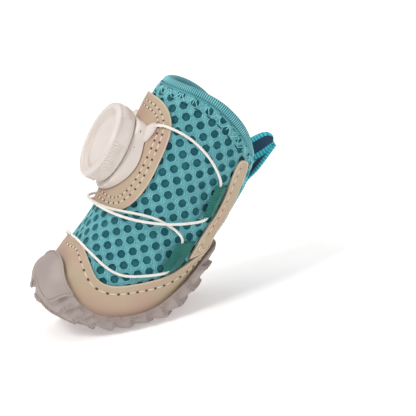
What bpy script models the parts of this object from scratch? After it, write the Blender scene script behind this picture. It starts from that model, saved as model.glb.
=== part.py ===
"""Dog boot with a rockered cup sole, a mesh upper and a lace dial.

The toe points along -Y, the boot's left side is +X and the ground is Z = 0.
All sizes are in metres.
"""
import math
from collections import namedtuple

import bmesh
import bpy
import numpy as np

# Sole: outer sizes of the rubber cup
SOLE_LENGTH = 0.0726
SOLE_WIDTH = 0.0510
TOE_TIP_AT = -0.0346
TOE_RIM_HEIGHT = 0.0303
WAIST_RIM_HEIGHT = 0.0062
HEEL_RIM_HEIGHT = 0.0206
RIM_WALL = 0.0016
FLOOR_WALL = 0.0018
FLOOR_FADE = 0.14

# Tread: overlapping steps whose edges run across the sole as waves
LUG_DEPTH = 0.0017
LUG_PITCH = 0.0080
LUG_EDGE_RUN = 0.0002
LUG_SLOPE_SHARE = 0.76
LUG_END_FADE = 0.06
LUG_SIDE_FADE = 0.16
FIRST_LUG = 0.0166
LAST_LUG = 0.0060
WAVE_REACH = 0.0036
WAVE_LENGTH = 0.0250
WAVE_SHARE = 0.70

# Upper: mesh wall and the last that shapes it
MESH_WALL = 0.0020
COLLAR_WIDTH = 0.0366
COLLAR_FRONT_AT = 0.0348
COLLAR_FRONT_HEIGHT = 0.0860
COLLAR_BACK_AT = 0.0572
COLLAR_BACK_HEIGHT = 0.0510
COLLAR_BULGE = 0.0066
HEEL_SQUARE = 2.5
FRONT_FLATNESS = 0.20
TOE_TUCK = 0.27
SIDE_TUCK = 0.22
HEEL_TUCK = 0.13

# Overlays, binding and tapes
FIT_GAP = 0.0003
SKIN_GAP = 0.0005
CUP_GAP = 0.0007
OVERLAY_WALL = 0.0012
INSOLE_WALL = 0.0015
INSOLE_GAP = 0.0009
INSOLE_MARGIN = 0.03
INSOLE_REACH = 0.5
BINDING_WIDTH = 0.0038
BINDING_CROWN = 0.0006
TAPE_WIDTH = 0.0084
TAPE_WALL = 0.0009
PULL_LOOP_REACH = 0.0097
PULL_LOOP_LEVEL = 0.665
PULL_LOOP_FOOT = 0.022
LOOP_TIP_LEAN = (0.0, 0.36, -0.09)
LOOP_LOWER_SHARES = (0.33, 0.72)
LOOP_UPPER_SHARES = (0.86, 0.55, 0.25)
LOOP_SAG = 0.05
LOOP_ARCH = 0.10
LOOP_TWIST = (8.0, 25.0, 45.0, 60.0)

# Lace dial, seated on the front patch
DIAL_LEVEL = 0.594
KNOB_RADIUS = 0.0152
KNOB_DEPTH = 0.0080
KNOB_RIM = 0.0026
KNOB_RECESS = 0.0018
BASE_RADIUS = 0.0136
BASE_RISE = 0.0021
BASE_FOOT = 0.0032
FOOT_SPREAD = 62.0
EAR_REACH = 0.0026
EAR_ANGLE = 50.0
EAR_SPREAD = 14.0

# Lace and the folded webbing guides that it runs through
LACE_WIDTH = 0.00115
LACE_CLEARANCE = 0.00045
WEBBING_WALL = 0.0006
GUIDE_CLOSE_SHARE = 0.75
TUNNEL_SHARES = (1.0, 0.67, 0.33, 0.0)

# Rounding radius of the shaft, which turns lengths across it into angles
SHAFT_RADIUS = 0.0205

# Rows and columns of points on the surfaces
UPPER_COLUMNS = 44
TUCKED_ROWS = 5
FREE_ROWS = 12
SOLE_COLUMNS = 21
TOE_ROWS = 7
HEEL_ROWS = 5
ROUND_STEPS = 36

SoleRow = namedtuple("SoleRow", "mid_along mid_rise rim_out rim_along rim_rise wrap square")
# From the front of the rim, round the toe, under the foot and up to the back of the rim.
# Along: share of SOLE_LENGTH behind TOE_TIP_AT. Mid rise: share of the toe or heel
# rim height. Rim out: share of half the width. Rim rise: share from the waist rim up to
# the toe or heel rim. Wrap: degrees that a cross-section turns. Square: its exponent.
SOLE_ROWS = [
    SoleRow(0.182, 1.000, 0.530, 0.160, 0.870, 52, 2.0),
    SoleRow(0.124, 0.964, 0.640, 0.150, 0.780, 64, 2.0),
    SoleRow(0.077, 0.905, 0.706, 0.149, 0.690, 74, 2.1),
    SoleRow(0.046, 0.792, 0.741, 0.157, 0.590, 82, 2.2),
    SoleRow(0.030, 0.644, 0.761, 0.171, 0.480, 88, 2.3),
    SoleRow(0.028, 0.495, 0.785, 0.191, 0.360, 92, 2.4),
    SoleRow(0.055, 0.355, 0.822, 0.220, 0.240, 95, 2.5),
    SoleRow(0.116, 0.228, 0.870, 0.260, 0.137, 97, 2.7),
    SoleRow(0.196, 0.110, 0.920, 0.309, 0.062, 98, 2.9),
    SoleRow(0.300, 0.005, 0.962, 0.368, 0.021, 98, 3.1),
    SoleRow(0.402, -0.020, 0.992, 0.437, 0.000, 98, 3.2),
    SoleRow(0.512, -0.016, 1.000, 0.512, 0.000, 98, 3.2),
    SoleRow(0.616, -0.030, 0.982, 0.588, 0.070, 98, 3.2),
    SoleRow(0.712, 0.080, 0.940, 0.664, 0.220, 98, 3.1),
    SoleRow(0.802, 0.255, 0.875, 0.740, 0.403, 97, 2.9),
    SoleRow(0.884, 0.450, 0.815, 0.815, 0.625, 92, 2.6),
    SoleRow(0.953, 0.625, 0.722, 0.877, 0.833, 82, 2.3),
    SoleRow(0.993, 0.796, 0.600, 0.933, 0.955, 66, 2.1),
    SoleRow(1.012, 1.000, 0.460, 0.972, 1.005, 50, 2.0),
]
WAIST_ROW = 10

UpperRow = namedtuple("UpperRow", "front_along front_rise back_along back_rise width bow")
# From the rim up to the collar. Each value is a share of the way from the rim's own
# front, back, width and dip to those of the collar.
UPPER_ROWS = [
    UpperRow(0.000, 0.000, 0.000, 0.000, 0.00, 0.000),
    UpperRow(0.073, 0.062, 0.038, 0.050, -0.10, 0.080),
    UpperRow(0.150, 0.138, 0.158, 0.130, -0.10, 0.185),
    UpperRow(0.234, 0.218, 0.365, 0.232, 0.00, 0.300),
    UpperRow(0.320, 0.295, 0.522, 0.348, 0.14, 0.415),
    UpperRow(0.431, 0.415, 0.675, 0.472, 0.32, 0.527),
    UpperRow(0.537, 0.537, 0.833, 0.600, 0.48, 0.630),
    UpperRow(0.641, 0.658, 0.958, 0.728, 0.62, 0.730),
    UpperRow(0.745, 0.770, 1.040, 0.842, 0.75, 0.830),
    UpperRow(0.827, 0.878, 1.060, 0.905, 0.85, 0.910),
    UpperRow(0.916, 0.957, 1.040, 0.958, 0.93, 0.970),
    UpperRow(1.000, 1.000, 1.000, 1.000, 1.00, 1.000),
]
RIM_HOLD = 0.40
RIM_BLEND = 0.08
RIM_EVEN = 0.65

# Upper edge of the toe rand as a level of the upper, every 15 degrees from toe to heel
RAND_TOP = [0.150, 0.184, 0.189, 0.158, 0.163, 0.173, 0.185, 0.203, 0.240, 0.232, 0.195,
            0.152, 0.130]

StayRow = namedtuple("StayRow", "level front_angle back_angle")
# Left back stay, bottom to top. Angles are degrees round the upper from the toe.
STAY_ROWS = [
    StayRow(0.250, 110.0, 127.0),
    StayRow(0.307, 110.5, 127.5),
    StayRow(0.365, 112.5, 130.0),
    StayRow(0.425, 117.0, 135.0),
    StayRow(0.485, 120.0, 137.0),
    StayRow(0.545, 120.5, 137.5),
    StayRow(0.605, 120.0, 137.0),
    StayRow(0.665, 120.0, 136.0),
    StayRow(0.704, 121.0, 135.0),
    StayRow(0.722, 124.5, 132.5),
]

# Egg-shaped front patch, in levels and degrees of the upper
PATCH_LEVEL = 0.612
PATCH_HALF_LEVEL = 0.240
PATCH_HALF_ANGLE = 55.5
PATCH_SQUARE = 2.5

GuideEnd = namedtuple("GuideEnd", "level fold_angle back_angle")
# Webbing guides of the left side: lower and upper end of each
UPPER_GUIDE = (GuideEnd(0.448, 104.8, 114.8), GuideEnd(0.578, 105.8, 117.8))
LOWER_GUIDE = (GuideEnd(0.226, 90.6, 105.0), GuideEnd(0.348, 91.0, 107.0))

KnobRing = namedtuple("KnobRing", "out rim_widths_in up sunk")
# The knob's outline, from the middle of its underside to the middle of its face. Out, up
# and sunk are shares of its radius, its depth and the depth of its recess.
KNOB_RINGS = [
    KnobRing(0.000, 0.00, 0.000, 0.0),
    KnobRing(0.921, 0.00, 0.000, 0.0),
    KnobRing(0.980, 0.00, 0.100, 0.0),
    KnobRing(1.000, 0.00, 0.375, 0.0),
    KnobRing(0.987, 0.00, 0.850, 0.0),
    KnobRing(0.928, 0.00, 0.975, 0.0),
    KnobRing(1.000, 0.85, 1.000, 0.0),
    KnobRing(1.000, 1.23, 1.000, 1.0),
    KnobRing(0.000, 0.00, 1.000, 0.8),
]

LacePoint = namedtuple("LacePoint", "level angle over under")
# The lace of one half: from the left ear of the dial to the left upper guide, over the
# front to the right lower guide, and on to the middle of the toe. Over and under are its
# lifts in lace widths where this half lies on the other one and where it lies below.
EAR_RUN = [
    LacePoint(0.724, 35.0, 2.90, 2.90),
    LacePoint(0.735, 40.5, 2.60, 2.60),
    LacePoint(0.738, 47.0, 2.35, 2.35),
    LacePoint(0.735, 55.0, 2.20, 2.20),
    LacePoint(0.730, 64.5, 1.60, 1.60),
    LacePoint(0.720, 74.5, 1.10, 1.10),
    LacePoint(0.700, 85.5, 1.00, 1.00),
    LacePoint(0.671, 93.8, 1.05, 1.05),
    LacePoint(0.634, 102.0, 1.30, 1.30),
    LacePoint(0.603, 107.8, 1.60, 1.60),
]
FRONT_RUN = [
    LacePoint(0.435, 108.2, 1.65, 1.65),
    LacePoint(0.428, 103.0, 1.60, 1.45),
    LacePoint(0.425, 95.0, 1.90, 1.20),
    LacePoint(0.418, 85.5, 2.35, 1.00),
    LacePoint(0.415, 76.0, 2.35, 1.00),
    LacePoint(0.410, 65.5, 2.20, 1.10),
    LacePoint(0.404, 53.5, 2.80, 1.90),
    LacePoint(0.395, 40.0, 3.50, 2.25),
    LacePoint(0.384, 23.5, 3.60, 2.25),
    LacePoint(0.377, 8.0, 3.60, 2.25),
    LacePoint(0.378, -6.0, 3.60, 2.25),
    LacePoint(0.391, -22.0, 3.60, 2.25),
    LacePoint(0.410, -38.0, 3.50, 2.25),
    LacePoint(0.424, -51.5, 2.90, 2.15),
    LacePoint(0.430, -64.5, 2.30, 1.40),
    LacePoint(0.426, -74.0, 2.35, 1.00),
    LacePoint(0.414, -83.0, 2.35, 1.00),
    LacePoint(0.393, -89.5, 2.00, 1.20),
    LacePoint(0.366, -94.2, 1.65, 1.60),
]
TOE_RUN = [
    LacePoint(0.215, -94.6, 1.65, 1.65),
    LacePoint(0.210, -90.0, 1.45, 1.45),
    LacePoint(0.208, -80.5, 1.15, 1.15),
    LacePoint(0.205, -70.0, 1.10, 1.10),
    LacePoint(0.207, -61.0, 1.15, 1.15),
    LacePoint(0.211, -51.0, 1.25, 1.25),
    LacePoint(0.211, -40.5, 1.75, 1.75),
    LacePoint(0.204, -30.0, 2.20, 2.20),
    LacePoint(0.190, -19.5, 2.35, 2.35),
    LacePoint(0.178, -9.0, 2.40, 2.40),
    LacePoint(0.172, 0.0, 2.40, 2.40),
]
LACE_POINTS = 52


def through(values, place):
    """Smooth curve through evenly spaced values, read at places from 0 to 1."""
    values = np.asarray(values, dtype=float)
    padded = np.concatenate(([2 * values[0] - values[1]], values, [2 * values[-1] - values[-2]]))
    spot = np.clip(place, 0.0, 1.0) * (len(values) - 1)
    start = np.minimum(spot.astype(int), len(values) - 2)
    share = spot - start
    a, b, c, d = (padded[start + step] for step in range(4))
    return b + 0.5 * share * (c - a + share * (2 * a - 5 * b + 4 * c - d
                                               + share * (3 * (b - c) + d - a)))


def ease(share):
    """Soft step from 0 to 1."""
    share = np.clip(share, 0.0, 1.0)
    return share * share * (3 - 2 * share)


def signed_power(value, exponent):
    return np.sign(value) * np.abs(value) ** exponent


def unit(vectors):
    return vectors / np.linalg.norm(vectors, axis=-1, keepdims=True)


def sole_columns():
    """The sole table in metres."""
    rise = [TOE_RIM_HEIGHT if row <= WAIST_ROW else HEEL_RIM_HEIGHT
            for row in range(len(SOLE_ROWS))]
    return {
        "mid_y": [TOE_TIP_AT + SOLE_LENGTH * row.mid_along for row in SOLE_ROWS],
        "mid_z": [high * row.mid_rise for row, high in zip(SOLE_ROWS, rise)],
        "rim_x": [SOLE_WIDTH / 2 * row.rim_out for row in SOLE_ROWS],
        "rim_y": [TOE_TIP_AT + SOLE_LENGTH * row.rim_along for row in SOLE_ROWS],
        "rim_z": [WAIST_RIM_HEIGHT + (high - WAIST_RIM_HEIGHT) * row.rim_rise
                  for row, high in zip(SOLE_ROWS, rise)],
        "wrap": [math.radians(row.wrap) for row in SOLE_ROWS],
        "square": [row.square for row in SOLE_ROWS],
    }


SOLE = sole_columns()


def sole_section(at, across):
    """Cross-sections between a middle point and a rim point, as parts of a superellipse."""
    bend = 2 / at["square"]
    turn = at["wrap"] * np.abs(across) ** (1 / bend)
    out = (np.sin(turn) / np.sin(at["wrap"])) ** bend
    lift = ((1 - signed_power(np.cos(turn), bend))
            / (1 - signed_power(np.cos(at["wrap"]), bend)))
    return np.stack([
        np.sign(across) * at["rim_x"] * out,
        at["mid_y"] + (at["rim_y"] - at["mid_y"]) * lift,
        at["mid_z"] + (at["rim_z"] - at["mid_z"]) * lift,
    ], axis=-1)


def sole_envelope(place, across):
    """Outermost rubber surface: place runs toe rim to heel rim, across runs side to side."""
    place, across = np.broadcast_arrays(np.asarray(place, float), np.asarray(across, float))
    return sole_section({name: through(column, place) for name, column in SOLE.items()}, across)


def sole_normal(place, across):
    """Outward direction of the envelope."""
    step = 0.004
    place = np.clip(place, 0.02, 0.98)
    across = np.clip(across, -0.97, 0.97)
    along = sole_envelope(place + step, across) - sole_envelope(place - step, across)
    aside = sole_envelope(place, across + step) - sole_envelope(place, across - step)
    return unit(np.cross(along, aside))


def edge_share(place, across, end_margin, side_margin):
    """0 on the rim, 1 further in than the margins."""
    return (ease(place / end_margin) * ease((1 - place) / end_margin)
            * ease((1 - np.abs(across)) / side_margin))


def inside_cup(place, across, depth):
    """Layer this far inside the cup's inner surface, which keeps the sections' shape."""
    place, across = np.broadcast_arrays(np.asarray(place, float), np.asarray(across, float))
    at = {name: through(column, place) for name, column in SOLE.items()}
    floor = (RIM_WALL + (LUG_DEPTH + FLOOR_WALL - RIM_WALL) * edge_share(place, 0.0, FLOOR_FADE, 1.0)
             + depth)
    wall = RIM_WALL + depth
    middle_out = sole_normal(place, 0 * place)
    rim_out = sole_normal(place, 1 + 0 * place)
    at["mid_y"] = at["mid_y"] - floor * middle_out[..., 1]
    at["mid_z"] = at["mid_z"] - floor * middle_out[..., 2]
    at["rim_x"] = at["rim_x"] - wall * rim_out[..., 0]
    at["rim_y"] = at["rim_y"] - wall * rim_out[..., 1]
    at["rim_z"] = at["rim_z"] - wall * rim_out[..., 2]
    return sole_section(at, across)


def new_material(name, colour, roughness):
    material = bpy.data.materials.new(name)
    material.use_nodes = True
    shader = material.node_tree.nodes["Principled BSDF"]
    shader.inputs["Base Color"].default_value = (*colour, 1.0)
    shader.inputs["Roughness"].default_value = roughness
    shader.inputs["Metallic"].default_value = 0.0
    return material


def add_piece(name, points, faces, material):
    """Make an object from points and faces, with its faces pointing out."""
    mesh = bpy.data.meshes.new(name)
    mesh.from_pydata([tuple(point) for point in points], [], faces)
    work = bmesh.new()
    work.from_mesh(mesh)
    bmesh.ops.remove_doubles(work, verts=work.verts, dist=1e-7)
    bmesh.ops.recalc_face_normals(work, faces=work.faces)
    work.to_mesh(mesh)
    work.free()
    mesh.shade_smooth()
    mesh.set_sharp_from_angle(angle=math.radians(35))
    mesh.materials.append(material)
    piece = bpy.data.objects.new(name, mesh)
    bpy.context.scene.collection.objects.link(piece)
    return piece


def grid_faces(rows, columns, start, closed):
    """Quads of a grid of points stored row by row."""
    reach = columns if closed else columns - 1
    faces = []
    for row in range(rows - 1):
        for column in range(reach):
            after = (column + 1) % columns
            low = start + row * columns
            high = low + columns
            faces.append((low + column, low + after, high + after, high + column))
    return faces


def add_slab(name, outer, inner, material, closed=False):
    """Close the space between two grids of points. Closed grids run round the boot."""
    rows, columns = outer.shape[:2]
    count = rows * columns
    faces = grid_faces(rows, columns, 0, closed)
    faces += grid_faces(rows, columns, count, closed)
    reach = columns if closed else columns - 1
    for row in (0, rows - 1):
        for column in range(reach):
            here = row * columns + column
            after = row * columns + (column + 1) % columns
            faces.append((here, after, after + count, here + count))
    if not closed:
        for column in (0, columns - 1):
            for row in range(rows - 1):
                here = row * columns + column
                after = here + columns
                faces.append((here, after, after + count, here + count))
    points = np.concatenate([outer.reshape(-1, 3), inner.reshape(-1, 3)])
    return add_piece(name, points, faces, material)


def centre_line_places(lengths):
    """Places on the sole whose centre line lies this far from the toe rim."""
    fine = np.linspace(0, 1, 600)
    line = sole_envelope(fine, 0 * fine)
    run = np.concatenate(([0], np.cumsum(np.linalg.norm(np.diff(line, axis=0), axis=1))))
    return np.interp(lengths, run, fine), run[-1]


def lug_count(total):
    """Steps that fit between the first and last one on a sole of this centre-line length."""
    return int((total - FIRST_LUG - LAST_LUG) / LUG_PITCH)


def tread_rows(total):
    """Centre-line length, step height and wave share of each row of the outer surface."""
    rows = [(FIRST_LUG * share, 1.0, ease(share)) for share in np.linspace(0, 1, TOE_ROWS)]
    for lug in range(lug_count(total)):
        start = FIRST_LUG + lug * LUG_PITCH
        rows.append((start + LUG_EDGE_RUN, 0.0, 1.0))
        rows.append((start + LUG_SLOPE_SHARE * LUG_PITCH, LUG_SLOPE_SHARE, 1.0))
        rows.append((start + LUG_PITCH, 1.0, 1.0))
    last = FIRST_LUG + lug_count(total) * LUG_PITCH + LUG_EDGE_RUN
    for share in np.linspace(0, 1, HEEL_ROWS):
        rows.append((last + (total - last) * share, share, 1 - ease(share)))
    return rows


def make_outsole(material):
    """Rubber cup: stepped outside, smooth inside."""
    across = np.linspace(-1, 1, SOLE_COLUMNS)
    total = centre_line_places([0.0])[1]
    outer = []
    inner = []
    for length, height, wave in tread_rows(total):
        near = centre_line_places([length])[0][0]
        x = sole_envelope(near + 0 * across, across)[:, 0]
        flat = 1 - ease((2 * np.abs(x) / SOLE_WIDTH - WAVE_SHARE) / (1 - WAVE_SHARE))
        shift = -wave * flat * WAVE_REACH * np.cos(2 * math.pi * x / WAVE_LENGTH)
        place = centre_line_places(np.clip(length + shift, 0, total))[0]
        drop = (1 - height) * LUG_DEPTH * edge_share(place, across, LUG_END_FADE, LUG_SIDE_FADE)
        skin = sole_envelope(place, across) - drop[:, None] * sole_normal(place, across)
        skin[:, 2] = np.maximum(skin[:, 2], 0.0)
        outer.append(skin)
        inner.append(inside_cup(place, across, 0.0))
    return add_slab("outsole", np.array(outer), np.array(inner), material)


def make_insole(material):
    rows = 11
    columns = 7
    start = TOE_TUCK + INSOLE_MARGIN
    end = 1 - HEEL_TUCK - INSOLE_MARGIN
    place, across = np.meshgrid(np.linspace(start, end, rows),
                                np.linspace(-INSOLE_REACH, INSOLE_REACH, columns), indexing="ij")
    top = inside_cup(place, across, INSOLE_GAP + INSOLE_WALL)
    bottom = inside_cup(place, across, INSOLE_GAP)
    return add_slab("insole", top, bottom, material)


UNDER_RAND = CUP_GAP + OVERLAY_WALL + SKIN_GAP


def rim_walk():
    """Places round one half of the rim, toe to heel, with the upper's points there."""
    steps = 160
    front = [(0.0, share) for share in np.linspace(0, 1, steps, endpoint=False)]
    side = [(share, 1.0) for share in np.linspace(0, 1, 3 * steps, endpoint=False)]
    back = [(1.0, share) for share in np.linspace(1, 0, steps)]
    sites = np.array(front + side + back)
    return sites, inside_cup(sites[:, 0], sites[:, 1], UNDER_RAND)


def rim_angles():
    """Angle round the upper of each place on the rim, 0 at the toe and pi at the heel."""
    sites, points = rim_walk()
    toe_y, heel_y = points[0, 1], points[-1, 1]
    half_width = points[:, 0].max()
    along = ((toe_y + heel_y) / 2 - points[:, 1]) / ((heel_y - toe_y) / 2)
    turned = np.arctan2(points[:, 0] / half_width, along)
    turned[0] = 0.0
    turned[-1] = math.pi
    run = np.concatenate(([0], np.cumsum(np.linalg.norm(np.diff(points, axis=0), axis=1))))
    angles = (1 - RIM_EVEN) * np.maximum.accumulate(turned) + RIM_EVEN * math.pi * run / run[-1]
    return angles, sites, points


RIM_ANGLES, RIM_SITES, RIM_POINTS = rim_angles()


def tucked_skin(tuck, angle, lift=0.0):
    """Upper's outside where it lies in the cup: tuck 0 is the rim, 1 its lower edge."""
    angle = (angle + math.pi) % (2 * math.pi) - math.pi
    place = np.interp(np.abs(angle), RIM_ANGLES, RIM_SITES[:, 0])
    across = np.interp(np.abs(angle), RIM_ANGLES, RIM_SITES[:, 1]) * np.sign(angle)
    place = tuck * TOE_TUCK + place * (1 - tuck * (TOE_TUCK + HEEL_TUCK))
    across = across * (1 - tuck * SIDE_TUCK)
    return inside_cup(place, across, UNDER_RAND - lift)


def upper_columns():
    """The upper table in metres."""
    toe = RIM_POINTS[0]
    heel = RIM_POINTS[-1]
    side = RIM_POINTS[np.argmax(RIM_POINTS[:, 0])]
    chord = unit(heel[1:] - toe[1:])
    rim_bow = (side[1:] - toe[1:]) @ np.array([-chord[1], chord[0]])
    rim_width = side[0]
    pairs = {
        "front_y": (toe[1], COLLAR_FRONT_AT, "front_along"),
        "front_z": (toe[2], COLLAR_FRONT_HEIGHT, "front_rise"),
        "back_y": (heel[1], COLLAR_BACK_AT, "back_along"),
        "back_z": (heel[2], COLLAR_BACK_HEIGHT, "back_rise"),
        "width": (rim_width, COLLAR_WIDTH / 2, "width"),
        "bow": (rim_bow, COLLAR_BULGE, "bow"),
    }
    return {name: [start + (end - start) * getattr(row, column) for row in UPPER_ROWS]
            for name, (start, end, column) in pairs.items()}


UPPER = upper_columns()


def free_skin(level, angle):
    """Smooth hoop of the upper: level 0 is the rim and 1 the collar."""
    at = {name: through(column, level) for name, column in UPPER.items()}
    heel = np.cos(angle) < 0
    flat_front = 1 - FRONT_FLATNESS * np.sin(math.pi * np.clip(level, 0, 1))
    bend = np.where(heel, 1 + (2 / HEEL_SQUARE - 1) * level, flat_front)
    share = (1 - signed_power(np.cos(angle), bend)) / 2
    aside = signed_power(np.sin(angle), bend)
    run_y = at["back_y"] - at["front_y"]
    run_z = at["back_z"] - at["front_z"]
    size = np.hypot(run_y, run_z)
    bow = at["bow"] * aside ** 2
    return np.stack([
        at["width"] * aside,
        at["front_y"] + run_y * share - bow * run_z / size,
        at["front_z"] + run_z * share + bow * run_y / size,
    ], axis=-1)


def upper_skin(level, angle):
    """Outside of the mesh upper. Levels under 0 are tucked into the cup."""
    level, angle = np.broadcast_arrays(np.asarray(level, float), np.asarray(angle, float))
    above = np.maximum(level, 0)
    below = np.maximum(-level, 0)
    hold = (1 - ease(above / RIM_HOLD))[..., None]
    rim = tucked_skin(below, angle)
    nothing = 0 * level
    return (free_skin(above, angle)
            + hold * (rim - free_skin(nothing, angle)))


def upper_normal(level, angle):
    """Outward direction of the upper. On the rim it is the cup's own, so that layers meet."""
    step = 0.004
    low = np.clip(level - step, 0, 1)
    high = np.clip(level + step, 0, 1)
    rise = upper_skin(high, angle) - upper_skin(low, angle)
    round_boot = upper_skin(level, angle + step) - upper_skin(level, angle - step)
    free = unit(np.cross(round_boot, rise))
    rim = (tucked_skin(0 * level, angle, FIT_GAP) - tucked_skin(0 * level, angle)) / FIT_GAP
    share = ease(level / RIM_BLEND)[..., None]
    return rim + share * (free - rim)


def on_upper(level, angle, lift):
    """Point this far outside the upper."""
    level, angle, lift = np.broadcast_arrays(
        np.asarray(level, float), np.asarray(angle, float), np.asarray(lift, float))
    free_level = np.maximum(level, 0)
    free = upper_skin(free_level, angle) + lift[..., None] * upper_normal(free_level, angle)
    tucked = tucked_skin(np.maximum(-level, 0), angle, lift)
    return np.where((level > 0)[..., None], free, tucked)


def hoop_angles(count):
    return np.linspace(-math.pi, math.pi, count, endpoint=False) + math.pi / count


def level_below_collar(angle, distance):
    """Level that lies this far below the collar edge, measured over the surface."""
    levels = np.linspace(1.0, 0.6, 120)
    line = upper_skin(levels[:, None], angle[None, :])
    steps = np.linalg.norm(np.diff(line, axis=0), axis=2)
    run = np.concatenate([np.zeros((1, len(angle))), np.cumsum(steps, axis=0)])
    return np.array([np.interp(distance, run[:, column], levels)
                     for column in range(len(angle))])


def upper_rows(angle):
    """Levels of the upper's rows, from its lower edge in the cup to the binding."""
    top = level_below_collar(angle, BINDING_WIDTH + FIT_GAP)
    tucked = np.linspace(-1, 0, TUCKED_ROWS, endpoint=False)[:, None] + 0 * angle
    free = np.linspace(0, 1, FREE_ROWS)[:, None] * top
    return np.concatenate([tucked, free])


def make_upper(material):
    angle = hoop_angles(UPPER_COLUMNS)
    level = upper_rows(angle)
    outer = on_upper(level, angle, 0.0)
    inner = on_upper(level, angle, -MESH_WALL)
    return add_slab("upper", outer, inner, material, closed=True)


def make_collar_binding(material):
    """Rounded band on the collar edge: how far down and how far out each point lies."""
    angle = hoop_angles(UPPER_COLUMNS)
    mid = -MESH_WALL / 2
    half = MESH_WALL / 2
    crown = half + BINDING_CROWN
    foot = half + 0.5 * BINDING_CROWN
    profile = [
        (1.0, foot), (0.55, crown), (0.16, 0.8 * crown), (0.0, 0.3 * crown),
        (0.0, -0.3 * crown), (0.16, -0.8 * crown), (0.55, -crown), (1.0, -foot),
    ]
    rows = []
    for down, out in profile:
        level = level_below_collar(angle, down * BINDING_WIDTH)
        rows.append(on_upper(level, angle, mid + out))
    return add_tube_ring("collar_binding", np.array(rows), material)


def add_tube_ring(name, rows, material):
    """Closed ring whose cross-section is closed too."""
    count, columns = rows.shape[:2]
    faces = [tuple(index % (count * columns) for index in face)
             for face in grid_faces(count + 1, columns, 0, True)]
    return add_piece(name, rows.reshape(-1, 3), faces, material)


def make_toe_rand(material):
    angle = hoop_angles(UPPER_COLUMNS)
    top = through(RAND_TOP, np.abs(angle) / math.pi)
    low, rim, first = upper_rows(angle)[TUCKED_ROWS - 1:TUCKED_ROWS + 2]
    level = np.array([low, rim, first, 0.5 * (first + top), top])
    outer = on_upper(level, angle, SKIN_GAP + OVERLAY_WALL)
    inner = on_upper(level, angle, SKIN_GAP)
    return add_slab("toe_rand", outer, inner, material, closed=True)


def make_front_patch(material):
    """Rings of points from the middle of the patch out to its edge."""
    turn = np.linspace(0, 2 * math.pi, ROUND_STEPS, endpoint=False)
    bend = 2 / PATCH_SQUARE
    rows = np.linspace(0, 1, 6)[:, None]
    level = PATCH_LEVEL + PATCH_HALF_LEVEL * rows * signed_power(np.cos(turn), bend)
    angle = math.radians(PATCH_HALF_ANGLE) * rows * signed_power(np.sin(turn), bend)
    outer = on_upper(level, angle, SKIN_GAP + OVERLAY_WALL)
    inner = on_upper(level, angle, SKIN_GAP)
    return add_disc("front_patch", outer, inner, material)


def add_disc(name, outer, inner, material):
    """Close the space between two discs, stored as rings round a middle point."""
    rows, columns = outer.shape[:2]
    count = rows * columns
    faces = grid_faces(rows, columns, 0, True) + grid_faces(rows, columns, count, True)
    edge = (rows - 1) * columns
    for column in range(columns):
        after = (column + 1) % columns
        faces.append((edge + column, edge + after, edge + after + count, edge + column + count))
    outer[0] = outer[0].mean(axis=0)
    inner[0] = inner[0].mean(axis=0)
    points = np.concatenate([outer.reshape(-1, 3), inner.reshape(-1, 3)])
    return add_piece(name, points, faces, material)


def make_back_stay(name, side, material):
    across = np.linspace(0, 1, 4)
    level = np.array([[row.level] * len(across) for row in STAY_ROWS])
    angle = np.radians([[row.front_angle + (row.back_angle - row.front_angle) * share
                         for share in across] for row in STAY_ROWS])
    outer = on_upper(level, side * angle, SKIN_GAP + OVERLAY_WALL)
    inner = on_upper(level, side * angle, SKIN_GAP)
    return add_slab(name, outer, inner, material)


def make_pull_loop(material):
    """Tape that climbs the heel, leaves it, folds at its tip and comes back with a twist."""
    heel = np.array([math.pi])
    seat = FIT_GAP + TAPE_WALL / 2
    levels = np.linspace(RAND_TOP[-2] + PULL_LOOP_FOOT, PULL_LOOP_LEVEL, 7)
    climb = on_upper(levels, math.pi + 0 * levels, seat)
    level_top = level_below_collar(heel, 0.5 * BINDING_WIDTH)
    clear = BINDING_CROWN + 2 * FIT_GAP
    end = on_upper(level_top, heel, clear)[0]
    out = upper_normal(level_top, heel)[0]
    low = climb[-1]
    tip = end + PULL_LOOP_REACH * unit(out + np.array(LOOP_TIP_LEAN))
    lower = [low + (tip - low) * share - LOOP_SAG * PULL_LOOP_REACH * out
             for share in LOOP_LOWER_SHARES]
    upper = [end + (tip - end) * share + np.array([0.0, 0.0, LOOP_ARCH * PULL_LOOP_REACH])
             for share in LOOP_UPPER_SHARES]
    path = np.array([*climb, *lower, tip, *upper, end])
    twist = np.radians([0.0] * (len(climb) + len(lower) + 1) + list(LOOP_TWIST))
    ahead = unit(np.gradient(path, axis=0))
    aside = np.array([1.0, 0.0, 0.0])
    flat = unit(np.cross(ahead, aside))
    width = np.cos(twist)[:, None] * aside + np.sin(twist)[:, None] * flat
    face = unit(np.cross(width, ahead))
    outer = []
    inner = []
    for reach in (-0.5, 0.0, 0.5):
        line = path + reach * TAPE_WIDTH * width
        if reach:
            line = line + bend_to_heel(levels, len(path))
        outer.append(line + 0.5 * TAPE_WALL * face)
        inner.append(line - 0.5 * TAPE_WALL * face)
    return add_slab("pull_loop", np.array(outer), np.array(inner), material)


def bend_to_heel(levels, count):
    """How far the tape's edges drop from its middle to follow the round of the heel."""
    reach = 0.5 * TAPE_WIDTH / SHAFT_RADIUS
    middle = upper_skin(levels, math.pi + 0 * levels)
    edge = upper_skin(levels, math.pi - reach + 0 * levels)
    drop = np.zeros((count, 3))
    drop[:len(levels), 1:] = (edge - middle)[:, 1:]
    return drop


def dial_frame():
    """Seat, two directions across the dial and its axis."""
    level = np.array([DIAL_LEVEL])
    flat = np.array([0.0])
    axis = upper_normal(level, flat)[0]
    seat = on_upper(level, flat, SKIN_GAP + OVERLAY_WALL)[0]
    aside = np.array([1.0, 0.0, 0.0])
    upward = np.cross(axis, aside)
    if upward[2] < 0:
        upward = -upward
    return seat, aside, upward, axis


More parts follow.
